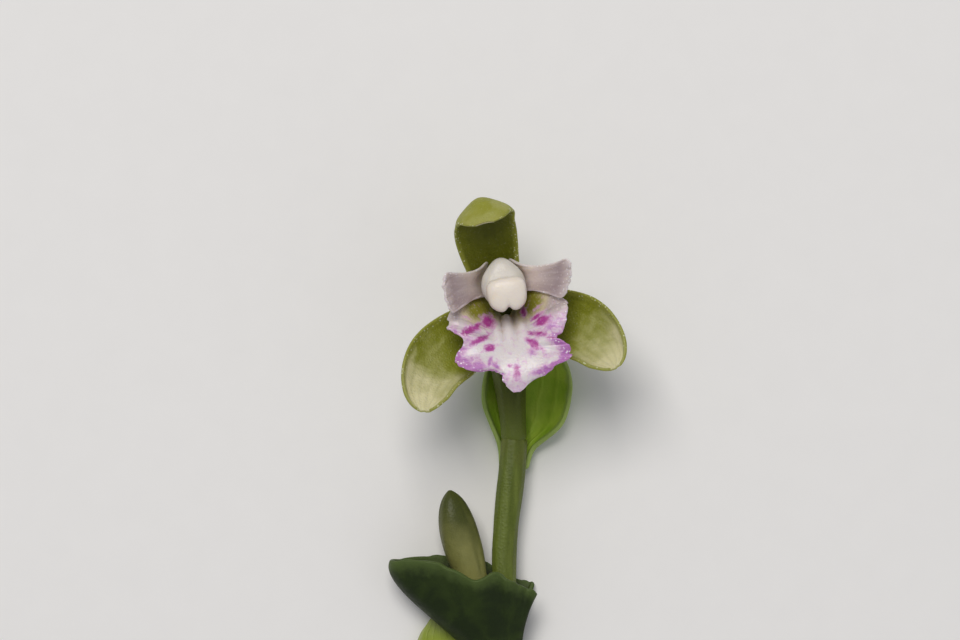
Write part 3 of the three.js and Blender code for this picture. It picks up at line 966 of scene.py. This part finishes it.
LOWER_HALF = Knots(((0, 0.3), (0.25, 0.6), (0.5, 0.5), (0.75, 0.68), (0.93, 0.9), (1, 0.66)))

LEFT_PETAL = Petal(
    "petal_beside_column_left",
    "petal_left",
    "petal",
    midrib=Line((
        (-0.85, 0.9, 0.75), (-1.15, 1.2, 1.7), (-1.5, 1.12, 2.7), (-2.0725, 1.036, 3.6),
        (-2.6575, 1.004, 4.35), (-2.95, 1.0, 4.9),
    )),
    sides=((0, 1, 0), (0, 1, 0)),
    minus=LOWER_HALF,
    plus=Knots(((0, 0.35), (0.15, 1.2), (0.3, 0.9), (0.5, 0.76), (0.75, 0.84), (0.93, 0.93), (1, 0.66))),
)

RIGHT_PETAL = Petal(
    "petal_beside_column_right",
    "petal_right",
    "petal",
    midrib=Line((
        (0.85, 0.9, 0.75), (1.15, 1.2, 1.7), (1.5, 1.12, 2.7), (2.441, 1.0, 3.6), (3.227, 0.92, 4.35),
        (3.62, 0.88, 4.9),
    )),
    sides=((0, -1, 0), (0, -1, 0)),
    minus=Knots(((0, 0.35), (0.15, 1.15), (0.3, 0.85), (0.5, 0.6), (0.75, 0.66), (0.93, 0.84), (1, 0.62))),
    plus=LOWER_HALF,
    hand=Hand.RIGHT,
    slant=0.13,
)


@dataclass(frozen=True)
class Blotch:
    """A coloured patch on the lip, as seen from the front of the flower, in millimetres and degrees."""

    x: float
    y: float
    length: float
    width: float
    turn: float
    strength: float = 1.0
    falloff = 0.7
    firmness = 1.15

    def at(self, x: Numbers, y: Numbers) -> Numbers:
        """Works out how strongly the patch covers places.

        Args:
            x: Places across the flower.
            y: Places up it.

        Returns:
            Near its strength inside the patch and 0 well outside.
        """
        c, s = math.cos(math.radians(self.turn)), math.sin(math.radians(self.turn))
        dx, dy = x - self.x, y - self.y
        along, across = (dx * c + dy * s) / self.length, (dy * c - dx * s) / self.width
        return self.strength * np.exp(-self.falloff * (along**2 + across**2) ** self.firmness)


def painted(*rows: tuple[float, ...]) -> tuple[Blotch, ...]:
    """Makes a set of patches, one from each row of their sizes."""
    return tuple(Blotch(*row) for row in rows)


def cover(patches: tuple[Blotch, ...], x: Numbers, y: Numbers) -> Numbers:
    """How strongly a set of patches covers places: the strongest one counts."""
    return np.max([patch.at(x, y) for patch in patches], axis=0)


STAINS = painted(
    (-1.17, -2.68, 0.28, 0.13, 60), (-0.94, -2.88, 0.45, 0.12, -51, 0.9),
    (-2.45, -2.45, 0.45, 0.35, -50, 0.9), (-1.85, -2.86, 0.6, 0.24, -5),
    (-1.95, -2.46, 0.5, 0.22, -15, 0.62), (1.55, -3.5, 0.32, 0.3, 60), (1.15, -3.56, 0.42, 0.18, 8, 0.95),
    (2.55, -2.95, 0.45, 0.28, -60, 0.9), (-2.7, -0.95, 0.4, 0.24, -55, 0.8),
    (-2.25, -1.3, 0.34, 0.18, -35, 0.6), (2.15, -1.3, 0.55, 0.34, -40, 0.85),
    (1.75, -1.6, 0.55, 0.42, -10, 0.5), (-1.75, -1.25, 0.6, 0.3, 10, 0.45),
    (1.01, -2.56, 0.28, 0.16, -20, 0.8), (1.62, -2.75, 0.3, 0.16, -40, 0.5),
    (-0.42, -3.62, 0.36, 0.14, 75, 0.7), (0.02, -3.84, 0.34, 0.26, 0, 0.55),
)

BLOTCHES = painted(
    (-1.92, -0.98, 0.5, 0.2, 16), (-1.6, -0.84, 0.32, 0.14, 25, 0.9), (-1.5, -1.53, 0.5, 0.15, 20),
    (-1.11, -2.01, 0.28, 0.18, 10), (-0.96, -0.7, 0.34, 0.3, -50), (-1.95, -0.36, 0.24, 0.09, -35, 0.5),
    (1.5, -0.82, 0.32, 0.12, 28), (1.73, -1.03, 0.38, 0.28, 10), (1.62, -0.36, 0.34, 0.08, 28, 0.5),
    (1.42, -1.66, 0.44, 0.13, -12, 0.9), (1.15, -2.14, 0.46, 0.18, -42),
    (0.88, -0.47, 0.28, 0.13, 85, 0.85), (2.02, -1.96, 0.25, 0.07, -8, 0.7),
    (0.09, -3.36, 0.4, 0.19, 80, 0.9), (-0.2, -3.05, 0.16, 0.1, 30, 0.6),
)


@dataclass
class Lip(Blade):
    """The lip: a trough with side lobes that flare beside the column, and a frilled mid-lobe with a point.

    Here t is -1 at the right margin and 1 at the left.
    """

    rows: int = 132
    columns: int = 72
    thickness: float = 0.26
    close_at_tip: bool = False
    midrib: Line = Line((
        (0, -0.62, 0.4), (0, -0.8, 1.35), (0, -0.95, 2.3), (0, -1.3, 3.25), (0, -1.85, 4.05),
        (0, -2.65, 4.6), (-0.02, -3.6, 4.85), (-0.05, -4.4, 4.8),
    ))
    left: Knots = Knots((
        (0, 0.7), (0.12, 1.2), (0.3, 1.95), (0.4, 2.7), (0.47, 2.92), (0.53, 2.7), (0.575, 2.25),
        (0.61, 2.5), (0.65, 2.74), (0.705, 2.64), (0.745, 2.25), (0.77, 1.62), (0.792, 1.12), (0.83, 0.76),
        (0.88, 0.54), (0.95, 0.36), (1, 0.06),
    ))
    right: Knots = Knots((
        (0, 0.7), (0.12, 1.2), (0.3, 1.95), (0.4, 2.75), (0.47, 3.04), (0.53, 2.84), (0.565, 2.55),
        (0.59, 2.4), (0.615, 2.28), (0.64, 2.16), (0.67, 2.45), (0.715, 2.76), (0.77, 2.82), (0.81, 2.62),
        (0.83, 2.15), (0.85, 1.8), (0.88, 1.66), (0.9, 1.42), (0.915, 0.95), (0.93, 0.66), (0.95, 0.48),
        (0.975, 0.3), (1, 0.05),
    ))
    rise: Knots = Knots((
        (0, 0.8), (0.12, 1.6), (0.22, 1.7), (0.3, 1.5), (0.4, 1.25), (0.47, 0.95), (0.6, 0.35), (0.7, 0.1),
        (1, -0.05),
    ))
    left_droop: Knots = Knots((
        (0, 0), (0.58, 0), (0.64, 0.14), (0.7, 0.32), (0.75, 0.36), (0.8, 0.08), (0.84, -0.02), (1, 0),
    ))
    right_droop: Knots = Knots((
        (0, 0), (0.5, 0), (0.58, 0.16), (0.63, 0.24), (0.67, 0.1), (0.71, 0), (1, 0),
    ))
    ruffle: Frill = Frill(0.27, 3, 34, 2)
    crimp: Frill = Frill(0.1, 4, 105, 5, 0.3)
    nick: float = 0.08
    keels: Point = (-0.6, -0.02, 0.68)
    keel_height: float = 0.28
    keel_width: float = 0.18
    groove_width: float = 0.22

    def edge(self, s: Numbers, t: Numbers) -> Numbers:
        """How near each place is to the margin."""
        return np.maximum(np.abs(t), smooth(0.8, 1.0, s))

    def surface(self, s: Numbers, t: Numbers) -> Numbers:
        """Works out the middle surface.

        Args:
            s: Shares of the lip's length.
            t: Places across it.

        Returns:
            Rows of x, y and z in millimetres.
        """
        centre, along, across, out = self.midrib.frame(s, np.array((-1.0, 0.0, 0.0)))
        edge, side = np.abs(t), np.sign(t)
        nick = self.nick * (ripple(90 * s, 1 + side) + ripple(46 * s, 2 + side))
        nick = nick * smooth(0.25, 0.5, s) * (1 - smooth(0.9, 1.0, s))
        half = np.where(t < 0, self.right.at(s), self.left.at(s)) + self.overhang + nick
        rise = self.rise.at(s) * smooth(0.25, 0.95, edge)
        rise = rise + self.ruffle.at(s, t, edge) * smooth(0.3, 0.6, s) * smooth(0.3, 2, half)
        rise = rise + self.crimp.at(s, t, edge) * smooth(0.25, 0.5, s) * smooth(0.2, 1, half)
        keel_height = self.keel_height * smooth(0.06, 0.2, s) * (1 - smooth(0.48, 0.64, s))
        for keel in self.keels:
            rise = rise + keel_height * hump(-t * half - keel, self.keel_width)
        sweep = np.where(t < 0, self.right_droop.at(s), self.left_droop.at(s)) * edge**2
        return centre + across * (t * half)[:, None] + out * rise[:, None] + along * sweep[:, None]

    def detail(self, piece: Piece) -> None:
        """Paints the blotches and the lilac margin where they grow, the painted shade of the upper side
        lobes, and the green throat, darkened by painted shade in its hollow and in the grooves between the
        keels.

        Args:
            piece: The fine mesh.
        """
        s, t = read_mark(piece, Mark.ALONG), read_mark(piece, Mark.ACROSS)
        x, y, _ = SHOOT.from_part(vertices_of(piece)).T
        inner = 1 - read_mark(piece, Mark.OUTER)
        write_mark(piece, Mark.BLOTCH, cover(BLOTCHES, x, y) * inner)
        lobe, wing = smooth(0.55, 0.66, s), smooth(0.36, 0.5, s)
        low = 1 - smooth(-1.0, -0.3, y)
        across = np.abs(t)
        band = lobe * smooth(0.64, 0.95, across) + 0.6 * (wing - lobe) * smooth(0.5, 1.0, across) * low
        band = np.maximum(band * (1 - 0.5 * smooth(0.86, 0.95, s)), 0.5 * smooth(0.84, 0.97, s))
        write_mark(piece, Mark.MARGIN, np.clip(np.maximum(band, cover(STAINS, x, y)), 0, 1))
        # Painted shade on the upper side lobes, lighter on the left lobe.
        lilac_haze_and_lobe_shade = smooth(-1.25, -0.35, y) * smooth(0.55, 1.5, np.abs(x))
        write_mark(piece, Mark.HAZE, lilac_haze_and_lobe_shade * np.where(x < 0, 0.65, 1.0))
        # The throat: its own green, with painted shade in the hollow by the column.
        deep = 1 - smooth(0.35, 1.35, np.hypot((np.abs(x) - 1.0) / 1.15, (y - 0.2) / 1.1))
        # Painted shade in the grooves between the keels, below the anther cap.
        grooves = 0.32 * smooth(-2.0, -0.7, y) * (1 - smooth(0.75, 1.1, np.abs(x - 0.05)))
        for keel in self.keels:
            beside = -t * self.left.at(s) - keel
            grooves = grooves * (1 - hump(beside, self.groove_width) * (1 - smooth(-0.7, -0.3, y)))
        write_mark(piece, Mark.THROAT, np.maximum(deep, grooves) * inner)


@dataclass
class FloralBract(Gutter):
    """The cupped bract that lies under the ovary."""

    leaning: bool = False
    thickness: float = 0.5
    midrib: Line = Line((
        (0.48, -8.4, -3.05), (0.6, -7.0, -3.28), (0.85, -5.2, -3.33), (1.1, -3.6, -3.33),
        (1.3, -2.3, -3.15), (1.4, -1.3, -2.75),
    ))
    minus: Knots = Knots((
        (0, 0.7), (0.15, 0.95), (0.3, 1.7), (0.42, 2.25), (0.58, 2.35), (0.75, 2.0), (0.9, 1.2), (1, 0.15),
    ))
    plus: Knots = Knots((
        (0, 0.7), (0.15, 1.1), (0.28, 2.15), (0.38, 2.7), (0.55, 2.8), (0.75, 2.35), (0.9, 1.3), (1, 0.15),
    ))
    curl: Knots = Knots(((0, 1.2), (0.2, 1.25), (0.4, 1.15), (0.6, 1.0), (1, 0.5)))
    cup: float = 0.8
    frills: tuple[Frill, ...] = (Frill(0.14, 3, 19, 2), Frill(0.05, 5, 40, 0, 0.9))


@dataclass
class LowerLeaf(Gutter):
    """The pale leaf that lies on the surface, under the dark one."""

    leaning: bool = False
    thickness: float = 0.5
    midrib: Line = Line((
        (0.1, -22.1, -3.26), (-1.2, -20.7, -3.3), (-2.5, -19.0, -3.33), (-3.2, -17.4, -3.33),
        (-3.35, -15.9, -3.2),
    ))
    sides: tuple[Point, Point] = ((0.6, 0.8, 0), (1, 0.1, 0))
    minus: Ovate = Ovate(0.7, 1.9, 0.5, 0.75)
    plus: Ovate = Ovate(0.5, 1.3, 0.5, 0.75)
    curl: Knots = Knots(((0, 0.35), (0.5, 0.3), (1, 0.3)))
    frills: tuple[Frill, ...] = (Frill(0.1, 3, 19, 1),)


@dataclass
class MiddleLeaf(Blade):
    """The dark leaf that clasps the stem and spreads to the left.

    Here t goes round the stem: 0 at the midrib, 1 at the lobe in front and -1 at the lobe behind.
    """

    leaning: bool = False
    rows: int = 44
    columns: int = 96
    thickness: float = 0.5
    close_at_tip: bool = False
    stem: Point = (0.03, -18.3, -2.26)
    wrap: float = math.radians(150)
    tilt: float = 0.5
    depth: float = 1.1
    clasp: float = 0.85
    reach_behind: float = 0.95
    reach_aside: float = 2.7
    reach_at_tip: float = 2.35
    height: Knots = Knots((
        (-1, 4.0), (-0.7, 4.3), (-0.45, 5.15), (-0.25, 5.45), (0, 5.25), (0.18, 5.3), (0.33, 4.75),
        (0.42, 4.3), (0.52, 4.75), (0.62, 4.35), (0.75, 4.05), (1, 3.6),
    ))

    def edge(self, s: Numbers, t: Numbers) -> Numbers:
        """How near each place is to the margin."""
        return np.maximum(s, smooth(0.85, 1.0, np.abs(t)))

    def surface(self, s: Numbers, t: Numbers) -> Numbers:
        """Works out the middle surface.

        Args:
            s: Shares of the leaf's length.
            t: Places round the stem.

        Returns:
            Rows of x, y and z in millimetres.
        """
        turn = self.wrap * t
        facing = (1 + np.cos(turn)) / 2
        reach = self.reach_behind + self.reach_aside * facing**2 + self.reach_at_tip * hump(turn, 0.45)
        blunt = 1 - 0.2 * s**7 * hump(turn, 0.6)
        r = self.clasp + reach * blunt * s ** (2.4 - 1.4 * facing) + 0.16 * s**4 * np.sin(8 * turn + 1)
        outward, up = r * np.cos(turn), r * np.sin(turn)
        pressed = -((np.maximum(-up, SMALL_STEP) ** -6 + self.depth**-6) ** (-1 / 6))
        leaned = np.where(up > self.clasp, self.clasp + self.tilt * (up - self.clasp), up)
        raised = 0.5 * s**2 * facing * smooth(-0.9, 0, turn)
        fold = 0.08 * s**3 * ripple(16 * turn, 0.6) * smooth(-0.3, 0.1, t)
        z = self.stem[2] + np.where(up < 0, pressed, leaned) + raised + fold
        length = self.height.at(t) + 0.06 * ripple(21 * turn, 1.9)
        return np.stack([self.stem[0] - outward, self.stem[1] + length * s, z], axis=-1)


# Stalks


@dataclass(kw_only=True)
class Stalk(Growth):
    """A solid along a line, closed at both ends and shaped to its sections.

    Its outline is worked out from s, 0 to 1 along the line, and the angle round it, 0 across to its side.
    """

    line: Line
    side: Point = (1.0, 0.0, 0.0)
    rows: int = 40
    sides: int = 32
    bulge: float = 0.1
    clean_cut: bool = False
    end_rings: tuple[float, ...] = (1.0, 0.72, 0.36, 0.0)

    def radius(self, s: Numbers, angle: Numbers) -> Numbers:
        """How far the outline is from the line, in millimetres."""
        raise NotImplementedError

    def seam(self, s: Numbers, angle: Numbers) -> Numbers:
        """How deep each place lies in a seam, 0 to 1."""
        return np.zeros(len(s))

    def rough(self) -> Piece:
        """Draws a globe out along the line. Its rings near the poles shrink to close the ends.

        Returns:
            The stalk, with its s, its cut end and its seams marked.
        """
        closing = len(self.end_rings) - 1
        rings = self.rows + 2 * closing
        deselect()
        bpy.ops.mesh.primitive_uv_sphere_add(segments=self.sides, ring_count=rings)
        piece = named(self.name)
        x, y, z = vertices_of(piece).T
        row = np.rint(np.arccos(np.clip(z, -1, 1)) / math.pi * rings) - closing
        s, angle = np.clip(row / self.rows, 0, 1), np.arctan2(y, x)
        share = np.array(self.end_rings)[np.maximum(0, np.maximum(-row, row - self.rows)).astype(int)]
        centre, along, across, out = self.line.frame(s, np.array(self.side))
        r = share * self.radius(s, angle)
        dome = np.where(s > 0.5, 1.0, -1.0) * self.bulge * (1 - share**2)
        places = centre + along * dome[:, None]
        places = places + across * (r * np.cos(angle))[:, None] + out * (r * np.sin(angle))[:, None]
        write_mark(piece, Mark.ALONG, s)
        write_mark(piece, Mark.OUTER, (share < 1) & (s > 0.5) & self.clean_cut)
        write_mark(piece, Mark.BLOTCH, self.seam(s, angle))
        move_vertices(piece, SHOOT.to_part(places, self.leaning))
        return piece


@dataclass
class Stem(Stalk):
    """The stem, which bends a little at each leaf and ends in a clean cut."""

    line: Line = Line((
        (0.49, -6.82, -2.26), (0.32, -8.9, -2.22), (0.08, -11, -2.22), (-0.03, -13.2, -2.24),
        (0.02, -15.4, -2.26), (0.05, -17.6, -2.26), (0.12, -20, -2.26), (0.1, -22.2, -2.32),
        (0.2, -24.5, -3.07),
    ))
    rows: int = 90
    bulge: float = 0.03
    clean_cut: bool = True
    girth: Knots = Knots((
        (0, 0.68), (0.12, 0.72), (0.25, 0.66), (0.42, 0.62), (0.5, 0.52), (0.66, 0.45), (0.74, 0.6),
        (0.84, 0.66), (0.9, 0.6), (1, 0.62),
    ))

    def radius(self, s: Numbers, angle: Numbers) -> Numbers:
        """The girth, with three faint corners, nine fine ribs and an uneven skin."""
        ribs = 0.02 * np.cos(9 * angle + 3 * s) + 0.012 * ripple(40 * s + 2 * angle, 0.5)
        return self.girth.at(s) * (0.97 + 0.04 * np.cos(3 * angle + 2 * s)) + ribs


@dataclass
class Ovary(Stalk):
    """The ribbed ovary behind the flower."""

    line: Line = Line((
        (0, -0.05, -0.25), (0.05, -0.95, -0.95), (0.15, -2.4, -1.6), (0.3, -4.2, -1.95),
        (0.43, -5.8, -2.15), (0.49, -6.8, -2.25),
    ))
    bulge: float = 0.5
    girth: Knots = Knots(((0, 0.7), (0.15, 0.84), (0.35, 0.92), (0.6, 0.8), (0.85, 0.66), (1, 0.66)))
    rib: float = 0.05

    def radius(self, s: Numbers, angle: Numbers) -> Numbers:
        """The girth, with six ribs that fade at both ends."""
        return self.girth.at(s) + self.rib * np.cos(6 * angle) * np.sin(math.pi * s)


@dataclass
class FlowerBud(Stalk):
    """The bud in the dark leaf's axil: a short stalk and three closed sepals."""

    line: Line = Line((
        (-0.95, -16.5, -2.15), (-1.2, -15.2, -2.15), (-1.75, -13.7, -2.1), (-2.2, -12.3, -1.95),
        (-2.55, -10.9, -1.6), (-2.8, -9.5, -1.3),
    ))
    bulge: float = 0.05
    girth: Knots = Knots((
        (0, 0.3), (0.18, 0.4), (0.36, 0.76), (0.55, 0.98), (0.75, 0.95), (0.88, 0.74), (0.96, 0.44),
        (1, 0.14),
    ))

    def seam(self, s: Numbers, angle: Numbers) -> Numbers:
        """Three seams that twist a little round the bud, from the end of its stalk."""
        return hump(np.cos(1.5 * angle + 0.9 * s), 0.16) * smooth(0.25, 0.45, s)

    def radius(self, s: Numbers, angle: Numbers) -> Numbers:
        """The girth, with three rounded sides and their seams."""
        return self.girth.at(s) * (1 + 0.05 * np.cos(3 * angle) - 0.06 * self.seam(s, angle))


@dataclass
class Column(Stalk):
    """The column: a club that widens to a peaked hood round the anther cap."""

    leaning: bool = True
    side: Point = (-1.0, 0.0, 0.0)
    line: Line = Line((
        (0, 0.32, 0.25), (0.03, 0.62, 1.4), (0.05, 0.85, 2.7), (0.08, 1.0, 3.6), (0.1, 1.05, 4.25),
    ))
    rows: int = 36
    sides: int = 48
    bulge: float = 0.05
    wide: Knots = Knots((
        (0, 0.22), (0.15, 0.42), (0.3, 0.55), (0.6, 0.9), (0.82, 1.12), (0.93, 1.05), (1, 0.8),
    ))
    high: Knots = Knots((
        (0, 0.22), (0.15, 0.38), (0.3, 0.5), (0.6, 0.9), (0.82, 1.15), (0.93, 1.1), (1, 0.85),
    ))
    peak: float = 0.24

    def radius(self, s: Numbers, angle: Numbers) -> Numbers:
        """An oval with a peak at the top."""
        oval = 1 / np.hypot(np.cos(angle) / self.wide.at(s), np.sin(angle) / self.high.at(s))
        return oval + self.peak * hump(angle - math.pi / 2, 0.45)


@dataclass
class AntherCap(Stalk):
    """The anther cap: a rounded block over the column's end, cleft below into two lobes."""

    leaning: bool = True
    side: Point = (-1.0, 0.0, 0.0)
    line: Line = Line(((0.15, 0.58, 3.75), (0.17, 0.55, 4.3), (0.19, 0.53, 4.7), (0.2, 0.52, 5.0)))
    rows: int = 28
    sides: int = 64
    bulge: float = 0.06
    swell: Knots = Knots(((0, 0.8), (0.35, 0.98), (0.65, 1), (0.85, 0.95), (0.95, 0.84), (1, 0.68)))
    wide: float = 1.0
    high: float = 0.84
    square: float = 3.0
    cleft: float = 0.2
    lobe: float = 0.05

    def block(self, angle: Numbers) -> Numbers:
        """A block with rounded corners, a little wider at the top."""
        wide = self.wide * (1 + 0.08 * np.sin(angle))
        return 1 / np.linalg.norm([np.cos(angle) / wide, np.sin(angle) / self.high], self.square, axis=0)

    def lobes(self, below: Numbers) -> Numbers:
        """Two lobes and the cleft between them, by the angle from straight below."""
        return self.lobe * hump(np.abs(below) - 0.45, 0.25) - self.cleft * hump(below, 0.17)

    def radius(self, s: Numbers, angle: Numbers) -> Numbers:
        """The block with its lobes."""
        below = np.mod(angle, 2 * math.pi) - 3 * math.pi / 2
        return self.swell.at(s) * (self.block(angle) + self.lobes(below))


# Studio


@dataclass(frozen=True)
class Lamp:
    """A soft square light that faces the flower, in metres and watts."""

    name: str
    place: Point
    side: float
    watts: float
    tint: Colour

    def hang(self) -> None:
        """Hangs the light."""
        deselect()
        bpy.ops.object.light_add(type="AREA", location=self.place)
        lamp = named(self.name)
        lamp.data.size = self.side
        lamp.data.energy = self.watts
        lamp.data.color = self.tint
        lamp.rotation_euler = Vector(self.place).to_track_quat("Z", "Y").to_euler()
        lamp.visible_camera = False


@dataclass
class Studio:
    """The pale surface, the soft lights and the camera that looks down on the flower."""

    floor_side: float = 3.0
    lamps: tuple[Lamp, ...] = (
        Lamp("key", (-0.075, 0.22, 0.49), 0.24, 1.70, (1.0, 0.97, 0.93)),
        Lamp("fill", (0.36, -0.20, 0.40), 0.40, 0.12, (0.95, 0.97, 1.0)),
    )
    sky: Colour = (0.92, 0.94, 1.0)
    sky_strength: float = 0.33
    lens_mm: float = 210.0
    sensor_mm: float = 36.0
    stand_off_mm: float = 280.0
    focal_height_mm: float = 5.0
    aim_mm: tuple[float, float] = (-1.25, -0.75)
    nearest_m: float = 0.01

    def build(self) -> None:
        """Builds the floor, the lights, the sky and the camera."""
        self.floor()
        for lamp in self.lamps:
            lamp.hang()
        self.surroundings()
        self.camera()

    def floor(self) -> None:
        """Lays the pale floor at the height that the shoot rests on."""
        deselect()
        bpy.ops.mesh.primitive_plane_add(size=self.floor_side)
        floor = named("floor")
        floor.data.materials.append(PaperFloor().material())

    def surroundings(self) -> None:
        """Sets a plain pale sky."""
        world = bpy.data.worlds.new("pale_room")
        world.use_nodes = True
        background = world.node_tree.nodes["Background"]
        background.inputs["Color"].default_value = (*self.sky, 1.0)
        background.inputs["Strength"].default_value = self.sky_strength
        bpy.context.scene.world = world
        bpy.context.scene.view_settings.view_transform = "Standard"

    def camera(self) -> None:
        """Hangs the camera straight over the flower, with the shoot's top at the top of the picture."""
        deselect()
        height = self.focal_height_mm + self.stand_off_mm
        place = SHOOT.to_part(np.array([*self.aim_mm, height]), leaning=False)
        bpy.ops.object.camera_add(location=place, rotation=(0, 0, 0))
        camera = named("camera")
        camera.data.lens = self.lens_mm
        camera.data.sensor_width = self.sensor_mm
        camera.data.clip_start = self.nearest_m
        bpy.context.scene.camera = camera


def main() -> None:
    """Builds the shoot from its flower down to its lowest leaf, then the studio round it."""
    # The hooded sepal's copy of the sepal tissue: darker inside as painted shade under the hood, olive
    # further towards its tip, and a little lighter on its back as painted light on the hood's lit top.
    hood = SepalTissue(
        "hooded_sepal_tissue", deep=(0.088, 0.097, 0.0008), outer=(0.285, 0.292, 0.028), pale_from=0.85
    )
    sepal, petal = SepalTissue().material(), PetalTissue().material()
    column_wax = WaxyTissue("column_wax", (0.67, 0.63, 0.57), (0.60, 0.56, 0.47))
    anther_wax = WaxyTissue("anther_wax", (0.82, 0.745, 0.66), (0.78, 0.68, 0.56))
    # The ovary's copy of the stem tissue: darker as painted shade under the lip, going over to a lighter
    # green towards the stem.
    ovary_green_shaded = StalkTissue(
        "ovary_tissue", (0.055, 0.07, 0.003), (0.095, 0.12, 0.008), (0.08, 0.07, 0.01), (0.115, 0.15, 0.018)
    )
    # The bract's own greens, lightened as painted light where the lip shades it.
    bract_green = LeafTissue(
        "bract_green", (0.30, 0.49, 0.03), (0.42, 0.58, 0.06), (0.24, 0.36, 0.04), (0.32, 0.42, 0.13)
    )
    # The dark leaf's own green, deepened almost to black as painted shade, with a much paler rim as painted
    # light on its lit margin.
    dark_leaf = LeafTissue(
        "dark_leaf",
        (0.011, 0.021, 0.003),
        (0.024, 0.042, 0.005),
        (0.022, 0.026, 0.006),
        (0.08, 0.12, 0.028),
    )
    pale_leaf = LeafTissue(
        "pale_leaf", (0.25, 0.32, 0.03), (0.30, 0.37, 0.05), (0.25, 0.31, 0.04), (0.36, 0.40, 0.16)
    )
    plan = (
        (DorsalSepal("hooded_sepal", "dorsal_sepal", "sepal"), hood.material()),
        (LEFT_SEPAL, sepal),
        (RIGHT_SEPAL, sepal),
        (LEFT_PETAL, petal),
        (RIGHT_PETAL, petal),
        (Lip("frilled_lip", "lip", "lip"), LipTissue().material()),
        (Column("hooded_column", "column", "column"), column_wax.material()),
        (AntherCap("two_lobed_anther_cap", "anther_cap", "anther"), anther_wax.material()),
        (Ovary("ribbed_ovary", "ovary", "stem"), ovary_green_shaded.material()),
        (FloralBract("cupped_bract", "floral_bract", "bract"), bract_green.material()),
        (Stem("ribbed_stem", "stem", "stem"), StalkTissue().material()),
        (FlowerBud("closed_bud", "flower_bud", "bud"), BudTissue().material()),
        (MiddleLeaf("clasping_leaf", "middle_leaf", "leaf"), dark_leaf.material()),
        (LowerLeaf("pale_lower_leaf", "lower_leaf", "leaf"), pale_leaf.material()),
    )
    for maker, material in plan:
        piece = maker.build(material)
        log.info("%s: %d faces", piece.name, len(piece.data.polygons))
    Studio().build()


if __name__ == "__main__":
    logging.basicConfig(level=logging.INFO, format="%(message)s")
    main()
